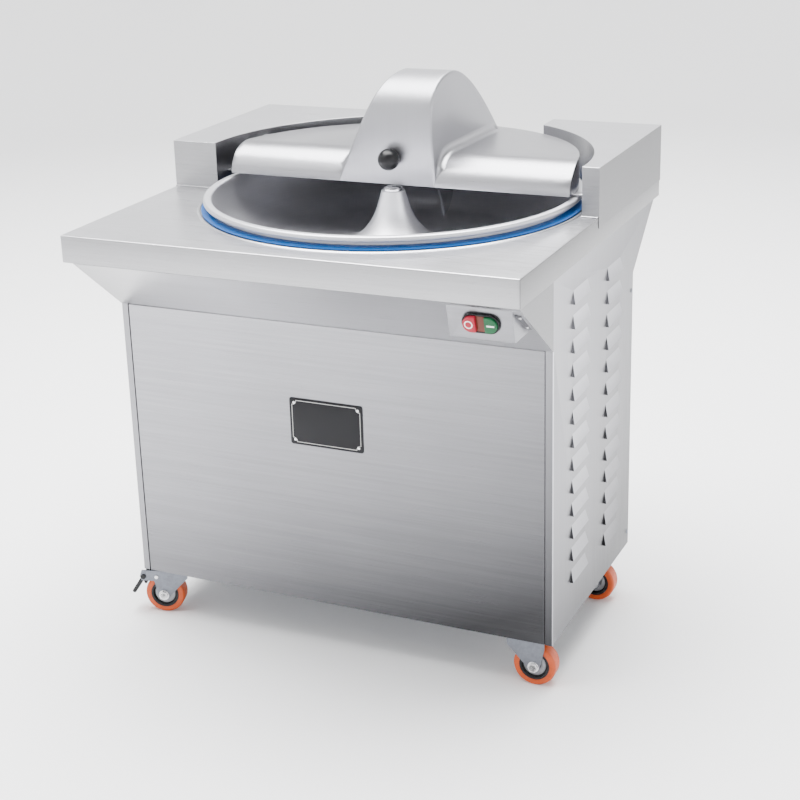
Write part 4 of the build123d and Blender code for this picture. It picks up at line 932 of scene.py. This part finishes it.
class CUTTER_OT_plate(Step, bpy.types.Operator):
    """Dress the bare name plate and add its printed line"""
    bl_idname = "cutter.plate"
    bl_label = "Name plate"

    def build(self, scene):
        plate = scene.cutter_plate
        dress("nameplate", "plate_black", 0.0003, 2)
        low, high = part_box("nameplate")
        x, y = (high.x - low.x) / 2 - plate.border, (high.z - low.z) / 2 - plate.border
        path = []
        for sx, sy, start in ((1, -1, 180), (1, 1, 270), (-1, 1, 0), (-1, -1, 90)):
            path += arc((sx * x, sy * y), plate.notch, start, start - 90, 8)
        place = Matrix.Translation(((low.x + high.x) / 2, low.y, (low.z + high.z) / 2))
        place = place @ Matrix.Rotation(pi / 2, 4, "X")
        line = ribbon(path, plate.line, 0.00012, place)
        finish_piece("nameplate_line", line, "nameplate", "plate_line", False)


class CUTTER_OT_fasteners(Step, bpy.types.Operator):
    """Set the rivets, panel screws and caster bolts, and dress the cable gland"""
    bl_idname = "cutter.fasteners"
    bl_label = "Fasteners"

    def build(self, scene):
        sizes = scene.cutter_fasteners
        low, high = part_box("nameplate_rivets")
        rivets = seats("nameplate_rivets", lambda middle, size: (0, -1, 0))
        place_heads("nameplate_rivets_heads", "nameplate_rivets", RIVET_HEAD, rivets, sizes.rivet,
                    high.y - low.y, "bright_rivet")

        def off_panel(middle, size):
            """Screws stand on the rear panel, or on the side panel that they are nearer to."""
            return (0, 1, 0) if size.y < size.x else (1 if middle.x > 0 else -1, 0, 0)

        screws = seats("panel_screws", off_panel)
        place_heads("panel_screws_heads", "panel_screws", SCREW_HEAD, screws, sizes.screw, SCREW_RISE, "zinc")
        fixings = [(Vector(point), Vector(FLANGE_OUT)) for point in FLANGE_SCREWS]
        place_heads("switch_box_screws", "panel_screws", SCREW_HEAD, fixings, sizes.rivet, SCREW_RISE,
                    "bright_rivet", False)
        low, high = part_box("caster_bolts")
        bolts = seats("caster_bolts", lambda middle, size: (0, 0, -1))
        place_heads("caster_bolts_heads", "caster_bolts", BOLT_HEAD, bolts, sizes.bolt, high.z - low.z,
                    "zinc")
        dress("cable_gland", "black_satin", 0.0005)


class CUTTER_OT_casters(Step, bpy.types.Operator):
    """Turn the wheels and dress the forks, plates and brake pedals"""
    bl_idname = "cutter.casters"
    bl_label = "Casters"

    def build(self, scene):
        edge = scene.cutter_steel.edge
        caster = scene.cutter_caster
        dress("caster_plates", "zinc", edge)
        half = caster.width / 2
        inner = caster.wheel - caster.depth
        corner = (caster.wheel - caster.shoulder, caster.shoulder - half)
        tread = mirrored([(inner, -half)] + arc(corner, caster.shoulder, -90, 0, 8))
        web = metres(BOSS) + [(WEB_START * MM, half + WEB[0][1] * MM)] + metres(WEB, inner, half)
        dish = half + DISC_FOOT * MM
        disc = metres([(DISC_BORE, 0)], 0, dish) + metres(DISC_EDGE, caster.disc, dish)
        disc += metres([(DISC_FLAT, DISC_TOP), (DISC_BORE, DISC_TOP)], 0, dish)
        for joint in frame["joints"]:
            if not joint["name"].startswith("roll_"):
                continue
            hub, fork, tyre, pedal = (joint["name"].replace("roll", part)
                                      for part in ("hub", "fork", "tread", "pedal"))
            axis = Vector(joint["axis"])
            place = Matrix.Translation(joint["pos_m"]) @ axis.to_track_quat("Z", "Y").to_matrix().to_4x4()
            finish_piece(tyre + "_tyre", lathe(tread, 96, place), tyre, "tyre", crease=30)
            core = mirrored([(radius, -height) for radius, height in web])
            finish_piece(hub + "_core", lathe(core, 96, place), hub, "black_satin", crease=30)
            for side, end in ((-1, "_disc_in"), (1, "_disc_out")):
                turned = lathe([(radius, side * height) for radius, height in disc], 72, place)
                finish_piece(hub + end, turned, hub, "hub_grey", False)
            body, bolts = split_largest(fork)
            for mesh in (body, bolts):
                soften(mesh, edge * 0.8)
            finish_piece(fork + "_dressed", body, fork, "zinc")
            if bolts.verts:
                finish_piece(fork + "_cheek_bolts", bolts, fork, "bright_rivet", False)
            ends = [(Vector(joint["pos_m"]) + axis * side * caster.fork, axis * side) for side in (-1, 1)]
            place_heads(fork + "_axle_heads", fork, BOLT_HEAD, ends, caster.axle_head, caster.axle_rise,
                        "bright_rivet", False)
            if pedal in frame["nodes"]:
                dress(pedal, "black_satin", edge * 0.8)


class CUTTER_OT_stage(Step, bpy.types.Operator):
    """Lay the floor with its upturned edge and set the lights and the camera"""
    bl_idname = "cutter.stage"
    bl_label = "Stage"

    def build(self, scene):
        stage = scene.cutter_stage
        line = [(0, 0)] + arc((FLOOR_RADIUS, FLOOR_BEND), FLOOR_BEND, -90, 0, 12)
        line.append((FLOOR_RADIUS + FLOOR_BEND, FLOOR_TOP))
        mesh = bmesh.new()
        bridge(mesh, rings(mesh, line[::-1], 96), closed=False)
        for face in mesh.faces:
            face.smooth = True
        data = bpy.data.meshes.new("floor")
        mesh.to_mesh(data)
        mesh.free()
        floor = add_object("floor", data)
        finish = Finish(stage.floor, 0.0, 0.75)
        finish.shade(finish.ranged(finish.noise(0.8, 2), 0.99, 1.01))
        data.materials.append(finish.material)

        for name, (place, size) in LIGHTS.items():
            data = bpy.data.lights.new(name, "AREA")
            data.shape = "RECTANGLE"
            data.size, data.size_y = size
            data.energy = getattr(stage, name)
            light = add_object(name, data)
            light.location = place
            light.rotation_euler = (Vector(LIT_POINT) - Vector(place)).to_track_quat("-Z", "Y").to_euler()
        world = bpy.data.worlds.new("surroundings")
        world.use_nodes = True
        back = world.node_tree.nodes["Background"]
        back.inputs["Color"].default_value = (0.96, 0.98, 1.0, 1)
        back.inputs["Strength"].default_value = stage.sky
        scene.world = world

        data = bpy.data.cameras.new("camera")
        data.lens = stage.lens
        data.sensor_width = 36
        data.shift_x, data.shift_y = CAMERA_SHIFT
        camera = add_object("camera", data)
        turn = Matrix((CAMERA_RIGHT, CAMERA_UP, CAMERA_BACK)).transposed()
        camera.matrix_world = Matrix.Translation(CAMERA_PLACE) @ turn.to_4x4()
        scene.camera = camera


STEPS = (CUTTER_OT_stage, CUTTER_OT_cabinet, CUTTER_OT_worktop, CUTTER_OT_bowl, CUTTER_OT_lid,
         CUTTER_OT_knives, CUTTER_OT_drive, CUTTER_OT_switch, CUTTER_OT_plate, CUTTER_OT_fasteners,
         CUTTER_OT_casters)


class CUTTER_PT_panel(bpy.types.Panel):
    """Lists the steps that dress the machine"""
    bl_idname = "CUTTER_PT_panel"
    bl_label = "Bowl cutter"
    bl_space_type = "VIEW_3D"
    bl_region_type = "UI"
    bl_category = "Bowl cutter"

    def draw(self, context):
        for step in STEPS:
            self.layout.operator(step.bl_idname)
        for group in SETTINGS:
            box = self.layout.box()
            settings = getattr(context.scene, group)
            for name in settings.bl_rna.properties.keys():
                if name not in ("rna_type", "name"):
                    box.prop(settings, name)


SETTINGS = {"cutter_steel": SteelSettings, "cutter_bowl": BowlSettings, "cutter_lid": LidSettings,
            "cutter_switch": SwitchSettings, "cutter_plate": PlateSettings,
            "cutter_fasteners": FastenerSettings, "cutter_caster": CasterSettings,
            "cutter_stage": StageSettings}


def register():
    for kind in (*SETTINGS.values(), *STEPS, CUTTER_PT_panel):
        bpy.utils.register_class(kind)
    for name, kind in SETTINGS.items():
        setattr(bpy.types.Scene, name, PointerProperty(type=kind))


def unregister():
    for name in SETTINGS:
        delattr(bpy.types.Scene, name)
    for kind in (CUTTER_PT_panel, *reversed(STEPS), *reversed(tuple(SETTINGS.values()))):
        bpy.utils.unregister_class(kind)


def main():
    register()
    for step in STEPS:
        group, name = step.bl_idname.split(".")
        getattr(getattr(bpy.ops, group), name)()


if __name__ == "__main__":
    main()
